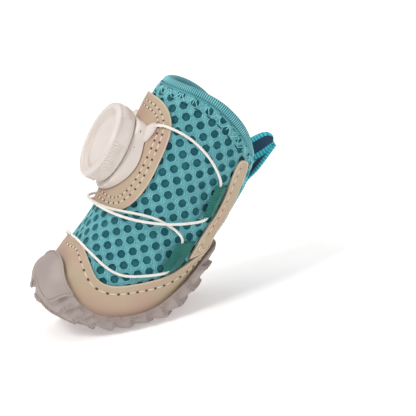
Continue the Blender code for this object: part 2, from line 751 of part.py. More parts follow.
def under_dial(aside_run, upward_run, lift):
    """Points on the lifted upper straight under points of the dial's plane."""
    seat, aside, upward, _ = dial_frame()
    level = DIAL_LEVEL + upward_run / COLLAR_FRONT_HEIGHT
    angle = aside_run / SHAFT_RADIUS
    nudge = 1e-3
    for _ in range(25):
        here = on_upper(level, angle, lift) - seat
        more_level = on_upper(level + nudge, angle, lift) - seat
        more_angle = on_upper(level, angle + nudge, lift) - seat
        miss_up = upward_run - here @ upward
        miss_side = aside_run - here @ aside
        level = level + miss_up * nudge / ((more_level - here) @ upward)
        angle = angle + miss_side * nudge / ((more_angle - here) @ aside)
    return on_upper(level, angle, lift)


def base_radius(turn):
    """Outline of the dial's base, with an ear on each side where the lace comes out."""
    ears = 0
    for centre in (EAR_ANGLE, 180 - EAR_ANGLE):
        away = (np.degrees(turn) - centre + 180) % 360 - 180
        ears = ears + np.exp(-(away / EAR_SPREAD) ** 2)
    below = (np.degrees(turn) - 270 + 180) % 360 - 180
    return BASE_RADIUS + EAR_REACH * ears + BASE_FOOT * np.exp(-(below / FOOT_SPREAD) ** 2)


def make_dial_base(material):
    """Saddle-shaped block between the knob and the patch."""
    seat, aside, upward, axis = dial_frame()
    turn = np.linspace(0, 2 * math.pi, ROUND_STEPS, endpoint=False)
    shares = np.array([0.0, 0.45, 0.8, 1.0])[:, None]
    reach = shares * base_radius(turn)
    aside_run = reach * np.cos(turn)
    upward_run = reach * np.sin(turn)
    top = (seat + aside_run[..., None] * aside + upward_run[..., None] * upward
           + BASE_RISE * axis)
    bottom = under_dial(aside_run, upward_run, SKIN_GAP + OVERLAY_WALL + FIT_GAP)
    return add_disc("dial_base", top, bottom, material)


def make_dial_knob(material):
    """Turned knob with a raised rim round its sunken face."""
    seat, aside, upward, axis = dial_frame()
    turn = np.linspace(0, 2 * math.pi, ROUND_STEPS, endpoint=False)
    spoke = np.cos(turn)[:, None] * aside + np.sin(turn)[:, None] * upward
    rows = []
    for ring in KNOB_RINGS:
        radius = ring.out * KNOB_RADIUS - ring.rim_widths_in * KNOB_RIM
        height = BASE_RISE + FIT_GAP + ring.up * KNOB_DEPTH - ring.sunk * KNOB_RECESS
        rows.append(seat + radius * spoke + height * axis)
    rows = np.array(rows)
    count, columns = rows.shape[:2]
    return add_piece("dial_knob", rows.reshape(-1, 3), grid_faces(count, columns, 0, True),
                     material)


def make_lace_guide(name, side, ends, material):
    """Webbing folded round the lace: a U whose legs close towards the heel."""
    bore = LACE_WIDTH / 2 + LACE_CLEARANCE
    outer = bore + WEBBING_WALL
    centre = FIT_GAP + outer
    turns = np.radians([270, 222, 180, 138, 90])
    fold = [(outer + outer * math.cos(turn), centre + outer * math.sin(turn)) for turn in turns]
    hollow = [(outer + bore * math.cos(turn), centre + bore * math.sin(turn))
              for turn in turns[::-1]]
    low = FIT_GAP
    inside = low + WEBBING_WALL
    slit = inside + FIT_GAP
    rows = []
    for share in np.linspace(0, 1, 4):
        level = ends[0].level + share * (ends[1].level - ends[0].level)
        start = math.radians(ends[0].fold_angle
                             + share * (ends[1].fold_angle - ends[0].fold_angle))
        back = math.radians(ends[0].back_angle
                            + share * (ends[1].back_angle - ends[0].back_angle))
        length = (back - start) * SHAFT_RADIUS
        close = GUIDE_CLOSE_SHARE * length
        profile = ([(length, low)] + fold + [(close, slit + 1.5 * WEBBING_WALL)]
                   + [(length, slit + WEBBING_WALL), (length, slit)]
                   + [(close, slit + 0.5 * WEBBING_WALL)]
                   + hollow + [(length, inside)])
        run = np.array([point[0] for point in profile])
        lift = np.array([point[1] for point in profile])
        angle = side * (start + run / SHAFT_RADIUS)
        rows.append(on_upper(level, angle, lift))
    rows = np.array(rows)
    count, columns = rows.shape[:2]
    faces = grid_faces(count, columns, 0, True)
    faces.append(tuple(range(columns)))
    faces.append(tuple(range((count - 1) * columns, count * columns)))
    return add_piece(name, rows.reshape(-1, 3), faces, material)


def tunnel_points(ends, side, shares):
    """Middle of a guide's tunnel at these shares of the way from its first end."""
    reach = LACE_WIDTH / 2 + LACE_CLEARANCE + WEBBING_WALL
    lift = (FIT_GAP + reach) / LACE_WIDTH
    aside = math.degrees(reach / SHAFT_RADIUS)
    points = []
    for share in shares:
        level = ends[0].level + share * (ends[1].level - ends[0].level)
        angle = ends[0].fold_angle + share * (ends[1].fold_angle - ends[0].fold_angle)
        points.append(LacePoint(level, side * (angle + aside), lift, lift))
    return points


def lace_route():
    """Points of one half of the lace, with both guides passed from the top down."""
    return (EAR_RUN + tunnel_points(UPPER_GUIDE, 1, TUNNEL_SHARES) + FRONT_RUN
            + tunnel_points(LOWER_GUIDE, -1, TUNNEL_SHARES) + TOE_RUN)


def make_lace_half(name, side, lift_name, material):
    """Round cord along the smooth curve through the route, mirrored for the right half."""
    route = lace_route()
    place = np.linspace(0, 1, LACE_POINTS)
    level = through([point.level for point in route], place)
    angle = through([side * math.radians(point.angle) for point in route], place)
    lift = LACE_WIDTH * through([getattr(point, lift_name) for point in route], place)
    line = on_upper(level, angle, lift)
    line[-1, 0] = -side * FIT_GAP / 2
    curve = bpy.data.curves.new(name, "CURVE")
    curve.dimensions = "3D"
    curve.bevel_depth = LACE_WIDTH / 2
    curve.bevel_resolution = 2
    curve.use_fill_caps = True
    spline = curve.splines.new("POLY")
    spline.points.add(len(line) - 1)
    for point, spot in zip(spline.points, line):
        point.co = (*spot, 1.0)
    curve.materials.append(material)
    cord = bpy.data.objects.new(name, curve)
    bpy.context.scene.collection.objects.link(cord)
    return cord


def clear_scene():
    for item in list(bpy.data.objects):
        bpy.data.objects.remove(item, do_unlink=True)


def main():
    clear_scene()
    rubber = new_material("outsole_rubber", (0.47, 0.40, 0.37), 0.55)
    mesh_cloth = new_material("air_mesh", (0.14, 0.50, 0.55), 0.85)
    foam = new_material("insole_foam", (0.25, 0.27, 0.28), 0.9)
    leather = new_material("overlay_leather", (0.52, 0.42, 0.31), 0.6)
    binding = new_material("elastic_binding", (0.15, 0.53, 0.58), 0.75)
    tape = new_material("loop_tape", (0.06, 0.42, 0.50), 0.6)
    webbing = new_material("guide_webbing", (0.03, 0.22, 0.18), 0.8)
    plastic = new_material("dial_plastic", (0.84, 0.80, 0.77), 0.35)
    cord = new_material("lace_cord", (0.90, 0.86, 0.82), 0.6)
    make_outsole(rubber)
    make_insole(foam)
    make_upper(mesh_cloth)
    make_toe_rand(leather)
    make_front_patch(leather)
    make_collar_binding(binding)
    make_pull_loop(tape)
    make_dial_base(plastic)
    make_dial_knob(plastic)
    for hand, side in (("left", 1), ("right", -1)):
        make_back_stay("back_stay_" + hand, side, leather)
        make_lace_guide("upper_guide_" + hand, side, UPPER_GUIDE, webbing)
        make_lace_guide("lower_guide_" + hand, side, LOWER_GUIDE, webbing)
    make_lace_half("lace_left", 1, "over", cord)
    make_lace_half("lace_right", -1, "under", cord)


main()
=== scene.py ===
# %% [markdown]
# # Dressing a dog boot
#
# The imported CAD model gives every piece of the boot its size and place. This file only gives the
# pieces their looks: smooth surfaces, knitted mesh, leather, stitches, rubber and plastic.
# Each piece is a fresh mesh that takes its shape from the CAD node it stands for.

import math

import bmesh
import bpy
import numpy as np
from mathutils import Matrix, Vector
from mathutils.bvhtree import BVHTree
from mathutils.kdtree import KDTree


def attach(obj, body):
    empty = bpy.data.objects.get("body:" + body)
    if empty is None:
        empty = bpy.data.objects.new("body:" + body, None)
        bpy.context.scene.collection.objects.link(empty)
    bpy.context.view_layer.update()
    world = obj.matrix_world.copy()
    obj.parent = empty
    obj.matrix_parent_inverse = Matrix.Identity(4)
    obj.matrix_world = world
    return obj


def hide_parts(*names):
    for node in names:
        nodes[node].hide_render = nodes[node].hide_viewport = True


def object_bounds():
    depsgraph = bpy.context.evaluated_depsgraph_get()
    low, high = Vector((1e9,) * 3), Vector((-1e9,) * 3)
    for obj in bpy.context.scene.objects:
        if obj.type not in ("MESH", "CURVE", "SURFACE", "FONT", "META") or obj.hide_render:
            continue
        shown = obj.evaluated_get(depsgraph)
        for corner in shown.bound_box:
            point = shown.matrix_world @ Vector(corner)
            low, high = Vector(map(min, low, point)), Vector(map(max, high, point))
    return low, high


MM = 0.001
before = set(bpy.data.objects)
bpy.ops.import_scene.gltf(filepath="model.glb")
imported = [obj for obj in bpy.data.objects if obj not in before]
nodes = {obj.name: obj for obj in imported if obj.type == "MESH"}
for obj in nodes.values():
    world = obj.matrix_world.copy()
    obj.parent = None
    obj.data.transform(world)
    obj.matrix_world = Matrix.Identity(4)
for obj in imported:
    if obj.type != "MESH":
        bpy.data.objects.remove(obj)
cad_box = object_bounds()
cad_sides = [round(side / MM, 1) for side in cad_box[1] - cad_box[0]]
print("frame:", len(nodes), "nodes,", cad_sides, "mm")

# %% [markdown]
# ## Camera
#
# The photo was taken from the boot's left side, a little from the front and from above, and its
# picture is turned a little against the boot. Three directions describe that: where the camera
# stands, and which way the picture's right side and top point. A very long lens keeps the
# proportions the same from front to back, as in the photo.

# %% Set up the camera
PHOTO_PIXELS = 416
PIXEL_SIZE = 0.376 * MM
BOOT_PIXEL = (125.5, 316.1)
LENS = 600.0
SENSOR = 36.0
# The boot's near side lies this much closer to the camera than its origin
NEAR_SIDE = 18 * MM

picture_right = Vector((0.2588, 0.9482, -0.1843)).normalized()
picture_up = Vector((-0.2008, 0.2395, 0.9499)).normalized()
towards_camera = picture_right.cross(picture_up)

camera = bpy.data.objects.new("camera", bpy.data.cameras.new("camera"))
bpy.context.scene.collection.objects.link(camera)
camera.data.lens = LENS
camera.data.sensor_width = SENSOR
distance = LENS / SENSOR * PHOTO_PIXELS * PIXEL_SIZE + NEAR_SIDE
aim = (picture_right * (PHOTO_PIXELS / 2 - BOOT_PIXEL[0]) * PIXEL_SIZE
       + picture_up * (BOOT_PIXEL[1] - PHOTO_PIXELS / 2) * PIXEL_SIZE)
turn = Matrix((picture_right, picture_up, towards_camera)).transposed()
camera.matrix_world = Matrix.Translation(aim + towards_camera * distance) @ turn.to_4x4()
camera.data.clip_end = 4 * distance
bpy.context.scene.camera = camera
print("camera:", round(distance, 2), "m from the boot")

# %% [markdown]
# ## Floor and light
#
# A product photo like this one is taken on white paper under large soft lamps. The strongest
# stands up and to the left of the picture, a wider one hangs above, a weak one fills the
# shadows, and the white surroundings light the rest. The paper itself glows a little, as
# overexposed paper does.

# %% Lay the floor and hang the lamps
FLOOR_REACH = 4.0
PAPER_GLOW = 0.30
floor_mesh = bpy.data.meshes.new("floor")
floor_mesh.from_pydata([(-FLOOR_REACH, -FLOOR_REACH, 0), (FLOOR_REACH, -FLOOR_REACH, 0),
                        (FLOOR_REACH, FLOOR_REACH, 0), (-FLOOR_REACH, FLOOR_REACH, 0)],
                       [], [(0, 1, 2, 3)])
floor = bpy.data.objects.new("floor", floor_mesh)
bpy.context.scene.collection.objects.link(floor)
paper = bpy.data.materials.new("white_paper")
paper.use_nodes = True
paper_shader = paper.node_tree.nodes["Principled BSDF"]
paper_shader.inputs["Base Color"].default_value = (0.90, 0.89, 0.89, 1)
paper_shader.inputs["Roughness"].default_value = 0.9
paper_shader.inputs["Emission Color"].default_value = (1.0, 0.985, 0.98, 1)
paper_shader.inputs["Emission Strength"].default_value = PAPER_GLOW
floor_mesh.materials.append(paper)


def hang_lamp(name, place, size, power):
    """Square lamp that faces the boot."""
    lamp = bpy.data.lights.new(name, "AREA")
    lamp.size = size
    lamp.energy = power
    holder = bpy.data.objects.new(name, lamp)
    bpy.context.scene.collection.objects.link(holder)
    target = Vector((0, 0.02, 0.04))
    holder.matrix_world = (Matrix.Translation(place)
                           @ (place - target).to_track_quat("Z", "Y").to_matrix().to_4x4())


hang_lamp("key_lamp", towards_camera * 0.7 - picture_right * 0.75 + Vector((0, 0, 0.95)), 0.5, 10.0)
hang_lamp("fill_lamp", towards_camera * 0.8 + picture_right * 0.9 + Vector((0, 0, 0.5)), 1.0, 1.6)
hang_lamp("top_lamp", Vector((-0.3, 0.1, 1.1)), 1.0, 4.0)
world = bpy.data.worlds.new("white_room")
world.use_nodes = True
world.node_tree.nodes["Background"].inputs["Color"].default_value = (1.0, 0.99, 0.98, 1)
world.node_tree.nodes["Background"].inputs["Strength"].default_value = 0.5
bpy.context.scene.world = world
# White paper shows as white and colours keep their strength, as in the photo
bpy.context.scene.view_settings.view_transform = "Standard"

# %% [markdown]
# ## Building a mesh
#
# Things that the CAD model leaves out, such as stitches, ribs and the knob's grips, are drawn as
# rows or rings of points that four-sided faces join. These helpers do that for all of them.

# %% Helpers for new meshes
def add_object(name, mesh):
    piece = bpy.data.objects.new(name, mesh)
    bpy.context.scene.collection.objects.link(piece)
    return piece


def ring_faces(rings, steps, start=0, all_round=True):
    """Four-sided faces between rings of points that are stored ring by ring."""
    faces = []
    for ring in range(rings - 1):
        low = start + ring * steps
        for step in range(steps if all_round else steps - 1):
            after = (step + 1) % steps
            faces.append((low + step, low + after, low + steps + after, low + steps + step))
    return faces


def add_made(name, corners, faces, smooth=True, turn_out=False, merge=None, sharp_over=None):
    """Object made of corners and faces, which can be merged, turned outward and smoothed."""
    mesh = bpy.data.meshes.new(name)
    mesh.from_pydata([tuple(corner) for corner in corners], [], faces)
    if turn_out:
        work = bmesh.new()
        work.from_mesh(mesh)
        if merge:
            bmesh.ops.remove_doubles(work, verts=work.verts, dist=merge)
        bmesh.ops.recalc_face_normals(work, faces=work.faces)
        work.to_mesh(mesh)
        work.free()
    if smooth:
        mesh.shade_smooth()
    if sharp_over:
        mesh.set_sharp_from_angle(angle=sharp_over)
    return add_object(name, mesh)


def corner_array(node):
    """Corners of a CAD node, one a row."""
    return np.array([corner.co[:] for corner in nodes[node].data.vertices])


def surface_tree(mesh):
    """Search tree for rays that hit a mesh."""
    return BVHTree.FromPolygons([corner.co for corner in mesh.vertices],
                                [face.vertices for face in mesh.polygons])


# %% [markdown]
# ## From facets to smooth skins
#
# The CAD model is made of flat facets, and its true creases are the edges of the cut pieces.
# A subdivision surface rounds everything that isn't marked as a crease. So each node is copied,
# its triangles are joined into four-sided faces, its cut edges are creased, and it is divided.

# %% Make a smooth copy of a CAD node
CREASE_OVER = math.radians(48)
SHARP_OVER = math.radians(42)


def welded(node):
    """Editable copy of a node with shared corners and four-sided faces."""
    work = bmesh.new()
    work.from_mesh(nodes[node].data)
    bmesh.ops.remove_doubles(work, verts=work.verts, dist=1e-6)
    bmesh.ops.join_triangles(work, faces=work.faces, angle_face_threshold=math.radians(60),
                             angle_shape_threshold=math.radians(80))
    return work


def is_crease(edge):
    return len(edge.link_faces) == 2 and edge.calc_face_angle(0.0) > CREASE_OVER


def divided(name, work, levels, crease):
    """Object whose mesh is the subdivision surface of the work mesh."""
    layer = work.edges.layers.float.new("crease_edge")
    for edge in work.edges:
        if is_crease(edge):
            edge[layer] = crease
    mesh = bpy.data.meshes.new(name)
    work.to_mesh(mesh)
    piece = add_object(name, mesh)
    rounding = piece.modifiers.new("rounding", "SUBSURF")
    rounding.levels = rounding.render_levels = levels
    bpy.context.view_layer.update()
    done = bpy.data.meshes.new_from_object(
        piece.evaluated_get(bpy.context.evaluated_depsgraph_get()))
    piece.modifiers.clear()
    piece.data = done
    done.name = name
    done.shade_smooth()
    done.set_sharp_from_angle(angle=SHARP_OVER)
    return piece


def dress(piece, node, material):
    """Put the piece in its node's place, with its finish."""
    piece.data.materials.clear()
    piece.data.materials.append(material)
    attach(piece, "root")
    if node:
        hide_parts(node)
    print(piece.name + ":", len(piece.data.polygons), "faces")
    return piece


# %% [markdown]
# ## Finding the face side and its outline
#
# Stitches and pale cut edges follow the outline of a piece at a fixed distance. So each overlay
# needs two numbers at every point: how far along the outline it lies, and how far in from it.
# They are kept as a UV map. The outline is the border of the piece's outward face, smoothed in
# the same way as the subdivision smooths it.

# %% Outline of a piece's outer face
INSIDE_POINT = Vector((0, 0.012, 0.03))
LEG_POINT = Vector((0, 0.036, 0.062))
MOSTLY_AWAY = 0.5


def away_from_paw(point):
    """Direction from the middle of the paw and leg to a point of the boot."""
    leg = LEG_POINT - INSIDE_POINT
    share = min(1.0, max(0.0, (point - INSIDE_POINT).dot(leg) / leg.length_squared))
    return (point - INSIDE_POINT - leg * share).normalized()


def outer_faces(work):
    """Largest patch of faces, bordered by creases, that points away from the paw."""
    best = []
    seen = set()
    for first in work.faces:
        if first in seen:
            continue
        patch = [first]
        seen.add(first)
        for face in patch:
            for edge in face.edges:
                if is_crease(edge):
                    continue
                for other in edge.link_faces:
                    if other not in seen:
                        seen.add(other)
                        patch.append(other)
        out = sum(face.normal.dot(away_from_paw(face.calc_center_median())) * face.calc_area()
                  for face in patch)
        best_area = sum(face.calc_area() for face in best)
        patch_area = sum(face.calc_area() for face in patch)
        if out > MOSTLY_AWAY * best_area and patch_area > best_area:
            best = patch
    return best


def outline_loops(faces):
    """Closed loops of points along the border of these faces."""
    inside = set(faces)
    border = {}
    for face in faces:
        for loop in face.loops:
            others = [other for other in loop.edge.link_faces if other is not face]
            if not others or others[0] not in inside:
                border[loop.vert] = loop.link_loop_next.vert
    loops = []
    while border:
        start = next(iter(border))
        run = [start]
        here = border.pop(start)
        while here is not start and here in border:
            run.append(here)
            here = border.pop(here)
        loops.append(np.array([corner.co[:] for corner in run]))
    return loops


def smoothed_loop(points, rounds=4):
    """The smooth curve that a subdivided crease follows."""
    for _ in range(rounds):
        before, after = np.roll(points, 1, axis=0), np.roll(points, -1, axis=0)
        kept = (before + 6 * points + after) / 8
        middle = (points + after) / 2
        points = np.stack([kept, middle], axis=1).reshape(-1, 3)
    return points


# %% [markdown]
# A pattern cutter measures a seam along the edge of the cut piece. The outline map does the same
# for every corner of a mesh, and the flat pattern finds the point of the real surface that a
# flat place stands for.

# %% Measure a mesh against an outline
def outline_map(piece, loop, name="outline"):
    """UV map: metres along the outline, and metres in from it. Returns the outline's length."""
    steps = np.linalg.norm(np.roll(loop, -1, axis=0) - loop, axis=1)
    along = np.concatenate([[0], np.cumsum(steps)])
    total = along[-1]
    tree = KDTree(len(loop))
    for index, point in enumerate(loop):
        tree.insert(point, index)
    tree.balance()
    mesh = piece.data
    values = []
    for corner in mesh.vertices:
        _, index, _ = tree.find(corner.co)
        best = None
        for start in (index - 1, index):
            a = Vector(loop[start % len(loop)])
            b = Vector(loop[(start + 1) % len(loop)])
            share = min(1.0, max(0.0, (corner.co - a).dot(b - a) / (b - a).length_squared))
            gap = (a + (b - a) * share - corner.co).length
            if best is None or gap < best[1]:
                best = (along[start % len(loop)] + share * (b - a).length, gap)
        values.append(best)
    layer = mesh.uv_layers.new(name=name)
    for face in mesh.polygons:
        runs = [values[mesh.loops[index].vertex_index] for index in face.loop_indices]
        far = max(run for run, _ in runs)
        for index, (run, gap) in zip(face.loop_indices, runs):
            if far - run > total / 2:
                run += total
            layer.data[index].uv = (run, gap)
    return total


class FlatPattern:
    """A piece laid out flat by one of its UV maps, to find points on it."""

    def __init__(self, mesh, layer_name, faces=None):
        mesh.calc_loop_triangles()
        layer = mesh.uv_layers[layer_name].data
        self.flat = []
        self.corners = []
        for triangle in mesh.loop_triangles:
            if faces is not None and triangle.polygon_index not in faces:
                continue
            places = [Vector((*layer[index].uv, 0)) for index in triangle.loops]
            if (places[1] - places[0]).cross(places[2] - places[0]).length < 1e-14:
                continue
            self.flat += places
            ends = [mesh.vertices[index] for index in triangle.vertices]
            self.corners.append([(end.co.copy(), end.normal.copy()) for end in ends])
        self.tree = BVHTree.FromPolygons(
            self.flat, [(index, index + 1, index + 2) for index in range(0, len(self.flat), 3)])

    def place(self, u, v):
        """Point and outward direction over a flat place, or over the nearest place."""
        spot, _, index, gap = self.tree.find_nearest(Vector((u, v, 0)))
        a, b, c = self.flat[3 * index:3 * index + 3]
        whole = (b - a).cross(c - a).z
        share_b = (spot - a).cross(c - a).z / whole
        share_c = (b - a).cross(spot - a).z / whole
        shares = (1 - share_b - share_c, share_b, share_c)
        point = sum((co * share for (co, _), share in zip(self.corners[index], shares)), Vector())
        out = sum((normal * share for (_, normal), share in zip(self.corners[index], shares)),
                  Vector())
        return point, out.normalized(), gap


# %% [markdown]
# ## Finishes
#
# Effects that several materials share are node groups: mottling with fine grain, and the pale
# cut edge with its needle holes. The second one reads the outline map, so it follows each piece
# however it bends.

# %% Helpers for shader nodes
def new_group(name, inputs, outputs):
    """Empty node group with named inputs and outputs."""
    group = bpy.data.node_groups.new(name, "ShaderNodeTree")
    for label, kind, value in inputs:
        socket = group.interface.new_socket(label, in_out="INPUT", socket_type=kind)
        socket.default_value = value
    for label, kind in outputs:
        group.interface.new_socket(label, in_out="OUTPUT", socket_type=kind)
    return group, group.nodes.new("NodeGroupInput"), group.nodes.new("NodeGroupOutput")


def feed(tree, socket, value):
    """Link a socket to an output, or set it to a number or colour."""
    if isinstance(value, bpy.types.NodeSocket):
        tree.links.new(value, socket)
    else:
        socket.default_value = value


def calculate(tree, operation, first, second=0.0, third=0.0):
    """Math node's output."""
    node = tree.nodes.new("ShaderNodeMath")
    node.operation = operation
    for socket, value in zip(node.inputs, (first, second, third)):
        feed(tree, socket, value)
    return node.outputs[0]


def ramp_between(tree, value, low, high):
    """0 below the low value and 1 above the high one, with a soft step between them."""
    node = tree.nodes.new("ShaderNodeMapRange")
    node.interpolation_type = "SMOOTHSTEP"
    feed(tree, node.inputs["Value"], value)
    feed(tree, node.inputs["From Min"], low)
    feed(tree, node.inputs["From Max"], high)
    return node.outputs["Result"]


def blend_colours(tree, share, first, second):
    node = tree.nodes.new("ShaderNodeMix")
    node.data_type = "RGBA"
    feed(tree, node.inputs["Factor"], share)
    feed(tree, node.inputs["A"], first)
    feed(tree, node.inputs["B"], second)
    return node.outputs["Result"]


def noise(tree, scale, detail=2.0, roughness=0.5):
    """Noise over the boot's own coordinates, so it stays on the piece from every side."""
    place = tree.nodes.new("ShaderNodeTexCoord").outputs["Object"]
    node = tree.nodes.new("ShaderNodeTexNoise")
    tree.links.new(place, node.inputs["Vector"])
    feed(tree, node.inputs["Scale"], scale)
    feed(tree, node.inputs["Detail"], detail)
    feed(tree, node.inputs["Roughness"], roughness)
    return node.outputs["Fac"]


def outline_place(tree, name="outline"):
    """Run along the outline and distance in from it, in metres."""
    layer = tree.nodes.new("ShaderNodeUVMap")
    layer.uv_map = name
    split = tree.nodes.new("ShaderNodeSeparateXYZ")
    tree.links.new(layer.outputs["UV"], split.inputs["Vector"])
    return split.outputs["X"], split.outputs["Y"]


# %% [markdown]
# Nothing that is moulded, tanned or spun has one even colour. Each material mixes two near
# colours in large soft patches, and takes its fine grain from the same group.

# %% Mottling and grain
def make_mottled_grain():
    group, given, result = new_group(
        "mottled_grain",
        [("Patch Scale", "NodeSocketFloat", 90.0), ("Grain Scale", "NodeSocketFloat", 2200.0),
         ("Colour", "NodeSocketColor", (0.5, 0.5, 0.5, 1)),
         ("Second Colour", "NodeSocketColor", (0.6, 0.5, 0.5, 1))],
        [("Colour", "NodeSocketColor"), ("Grain", "NodeSocketFloat")])
    patches = ramp_between(group, noise(group, given.outputs["Patch Scale"], 3.0), 0.38, 0.66)
    grain = noise(group, given.outputs["Grain Scale"], 2.0, 0.6)
    colour = blend_colours(group, patches, given.outputs["Colour"], given.outputs["Second Colour"])
    group.links.new(colour, result.inputs["Colour"])
    group.links.new(grain, result.inputs["Grain"])
    return group


mottled_grain = make_mottled_grain()


# %% [markdown]
# Where a blade cuts the sheet, its pale core shows as a thin line. A needle leaves a hole between
# every two stitches, drawn as a dark spot of painted shade, and the pull of the thread presses a
# groove along the row.

# %% Cut edge and needle holes
PITCH = 3.4 * MM
EDGE_ROW = 3.0 * MM
SECOND_ROW = 5.2 * MM
STAY_ROW = 1.6 * MM
HOLE_REACH = 0.62 * MM
CUT_EDGE = 0.75 * MM
GROOVE_HALF = 0.9 * MM


def make_sewn_edge():
    group, given, result = new_group(
        "sewn_edge",
        [("Inset", "NodeSocketFloat", EDGE_ROW), ("Pitch", "NodeSocketFloat", PITCH),
         ("Hole", "NodeSocketFloat", HOLE_REACH), ("Cut", "NodeSocketFloat", CUT_EDGE)],
        [("Cut Edge", "NodeSocketFloat"), ("Holes", "NodeSocketFloat"),
         ("Groove", "NodeSocketFloat")])
    run, inward = outline_place(group)
    cut = calculate(group, "SUBTRACT", 1.0, ramp_between(
        group, inward, 0.0, given.outputs["Cut"]))
    from_row = calculate(group, "ABSOLUTE", calculate(group, "SUBTRACT", inward,
                                                      given.outputs["Inset"]))
    pitch = given.outputs["Pitch"]
    along = calculate(group, "MULTIPLY", pitch, calculate(
        group, "PINGPONG", calculate(group, "DIVIDE", run, pitch), 0.5))
    reach = calculate(group, "SQRT", calculate(
        group, "ADD", calculate(group, "MULTIPLY", from_row, from_row),
        calculate(group, "MULTIPLY", along, along)))
    holes = calculate(group, "SUBTRACT", 1.0, ramp_between(
        group, reach, calculate(group, "MULTIPLY", given.outputs["Hole"], 0.5),
        given.outputs["Hole"]))
    groove = ramp_between(group, from_row, 0.0, GROOVE_HALF)
    group.links.new(cut, result.inputs["Cut Edge"])
    group.links.new(holes, result.inputs["Holes"])
    group.links.new(groove, result.inputs["Groove"])
    return group


sewn_edge = make_sewn_edge()


# %% Material helpers
def place_group(tree, group, **values):
    node = tree.nodes.new("ShaderNodeGroup")
    node.node_tree = group
    for label, value in values.items():
        feed(tree, node.inputs[label.replace("_", " ")], value)
    return node


def new_finish(name, roughness, specular=0.4):
    material = bpy.data.materials.new(name)
    material.use_nodes = True
    tree = material.node_tree
    shader = tree.nodes["Principled BSDF"]
    shader.inputs["Roughness"].default_value = roughness
    shader.inputs["Specular IOR Level"].default_value = specular
    return material, tree, shader


def add_bump(tree, shader, height, strength, depth):
    bump = tree.nodes.new("ShaderNodeBump")
    bump.inputs["Strength"].default_value = strength
    bump.inputs["Distance"].default_value = depth
    tree.links.new(height, bump.inputs["Height"])
    tree.links.new(bump.outputs["Normal"], shader.inputs["Normal"])


# %% [markdown]
# The overlays are a matte grained sheet in warm beige, the sole is grey-brown rubber with a dull
# mould finish, and the dial is a smooth cream plastic that light enters a little.

# %% Leather, rubber and plastic
def make_leather(name, insets, hole_shade=0.92):
    """Split leather with a pale cut edge and a row of needle holes, dark with painted shade, at
    each inset.
    """
    material, tree, shader = new_finish(name, 0.62, 0.35)
    base = place_group(tree, mottled_grain, Patch_Scale=70.0, Grain_Scale=2600.0,
                       Colour=(0.50, 0.39, 0.275, 1), Second_Colour=(0.50, 0.35, 0.265, 1))
    rows = [place_group(tree, sewn_edge, Inset=inset, Pitch=PITCH, Hole=HOLE_REACH, Cut=CUT_EDGE)
            for inset in insets]
    colour = blend_colours(tree, calculate(tree, "MULTIPLY", rows[0].outputs["Cut Edge"], 0.7),
                           base.outputs["Colour"], (0.80, 0.66, 0.50, 1))
    height = calculate(tree, "MULTIPLY", base.outputs["Grain"], 0.25)
    for row in rows:
        # Needle holes are darkened with painted shade
        colour = blend_colours(tree, calculate(tree, "MULTIPLY", row.outputs["Holes"], hole_shade),
                               colour, (0.03, 0.018, 0.012, 1))
        height = calculate(tree, "ADD", height, row.outputs["Groove"])
    tree.links.new(colour, shader.inputs["Base Color"])
    add_bump(tree, shader, height, 0.55, 0.25 * MM)
    return material


def make_rubber():
    material, tree, shader = new_finish("moulded_rubber", 0.58, 0.4)
    base = place_group(tree, mottled_grain, Patch_Scale=55.0, Grain_Scale=1800.0,
                       Colour=(0.42, 0.355, 0.325, 1), Second_Colour=(0.37, 0.305, 0.285, 1))
    tree.links.new(base.outputs["Colour"], shader.inputs["Base Color"])
    add_bump(tree, shader, base.outputs["Grain"], 0.25, 0.08 * MM)
    return material


def make_plastic():
    material, tree, shader = new_finish("dial_plastic", 0.38, 0.5)
    base = place_group(tree, mottled_grain, Patch_Scale=40.0, Grain_Scale=1500.0,
                       Colour=(0.76, 0.69, 0.64, 1), Second_Colour=(0.72, 0.65, 0.605, 1))
    tree.links.new(base.outputs["Colour"], shader.inputs["Base Color"])
    shader.inputs["Subsurface Weight"].default_value = 0.08
    shader.inputs["Subsurface Radius"].default_value = (0.004, 0.003, 0.002)
    add_bump(tree, shader, base.outputs["Grain"], 0.12, 0.03 * MM)
    return material


rand_leather = make_leather("rand_leather", [EDGE_ROW])
patch_leather = make_leather("patch_leather", [EDGE_ROW, SECOND_ROW])
stay_leather = make_leather("stay_leather", [STAY_ROW], 0.0)
rubber = make_rubber()
plastic = make_plastic()
print("finishes:", rand_leather.name, rubber.name, plastic.name)


# %% [markdown]
# The knit, the elastic, the webbing and the lace are all spun yarn: matte, with a faint sheen at
# their edges. Only the large threads are geometry, and the finer ones are drawn here.

# %% Cloth finishes
RIB_PITCH = 0.8 * MM
WEAVE_PITCH = 1.1 * MM
YARN_LINES = 1.9
LINE_START = 0.26


def make_cloth(name, colour, second, thread_scale, patch_scale=160.0, roughness=0.85,
               sheen=0.25):
    """Fine yarn with colour that changes from place to place."""
    material, tree, shader = new_finish(name, roughness, 0.25)
    base = place_group(tree, mottled_grain, Patch_Scale=patch_scale, Grain_Scale=thread_scale,
                       Colour=(*colour, 1), Second_Colour=(*second, 1))
    tree.links.new(base.outputs["Colour"], shader.inputs["Base Color"])
    shader.inputs["Sheen Weight"].default_value = sheen
    add_bump(tree, shader, base.outputs["Grain"], 0.6, 0.15 * MM)
    return material


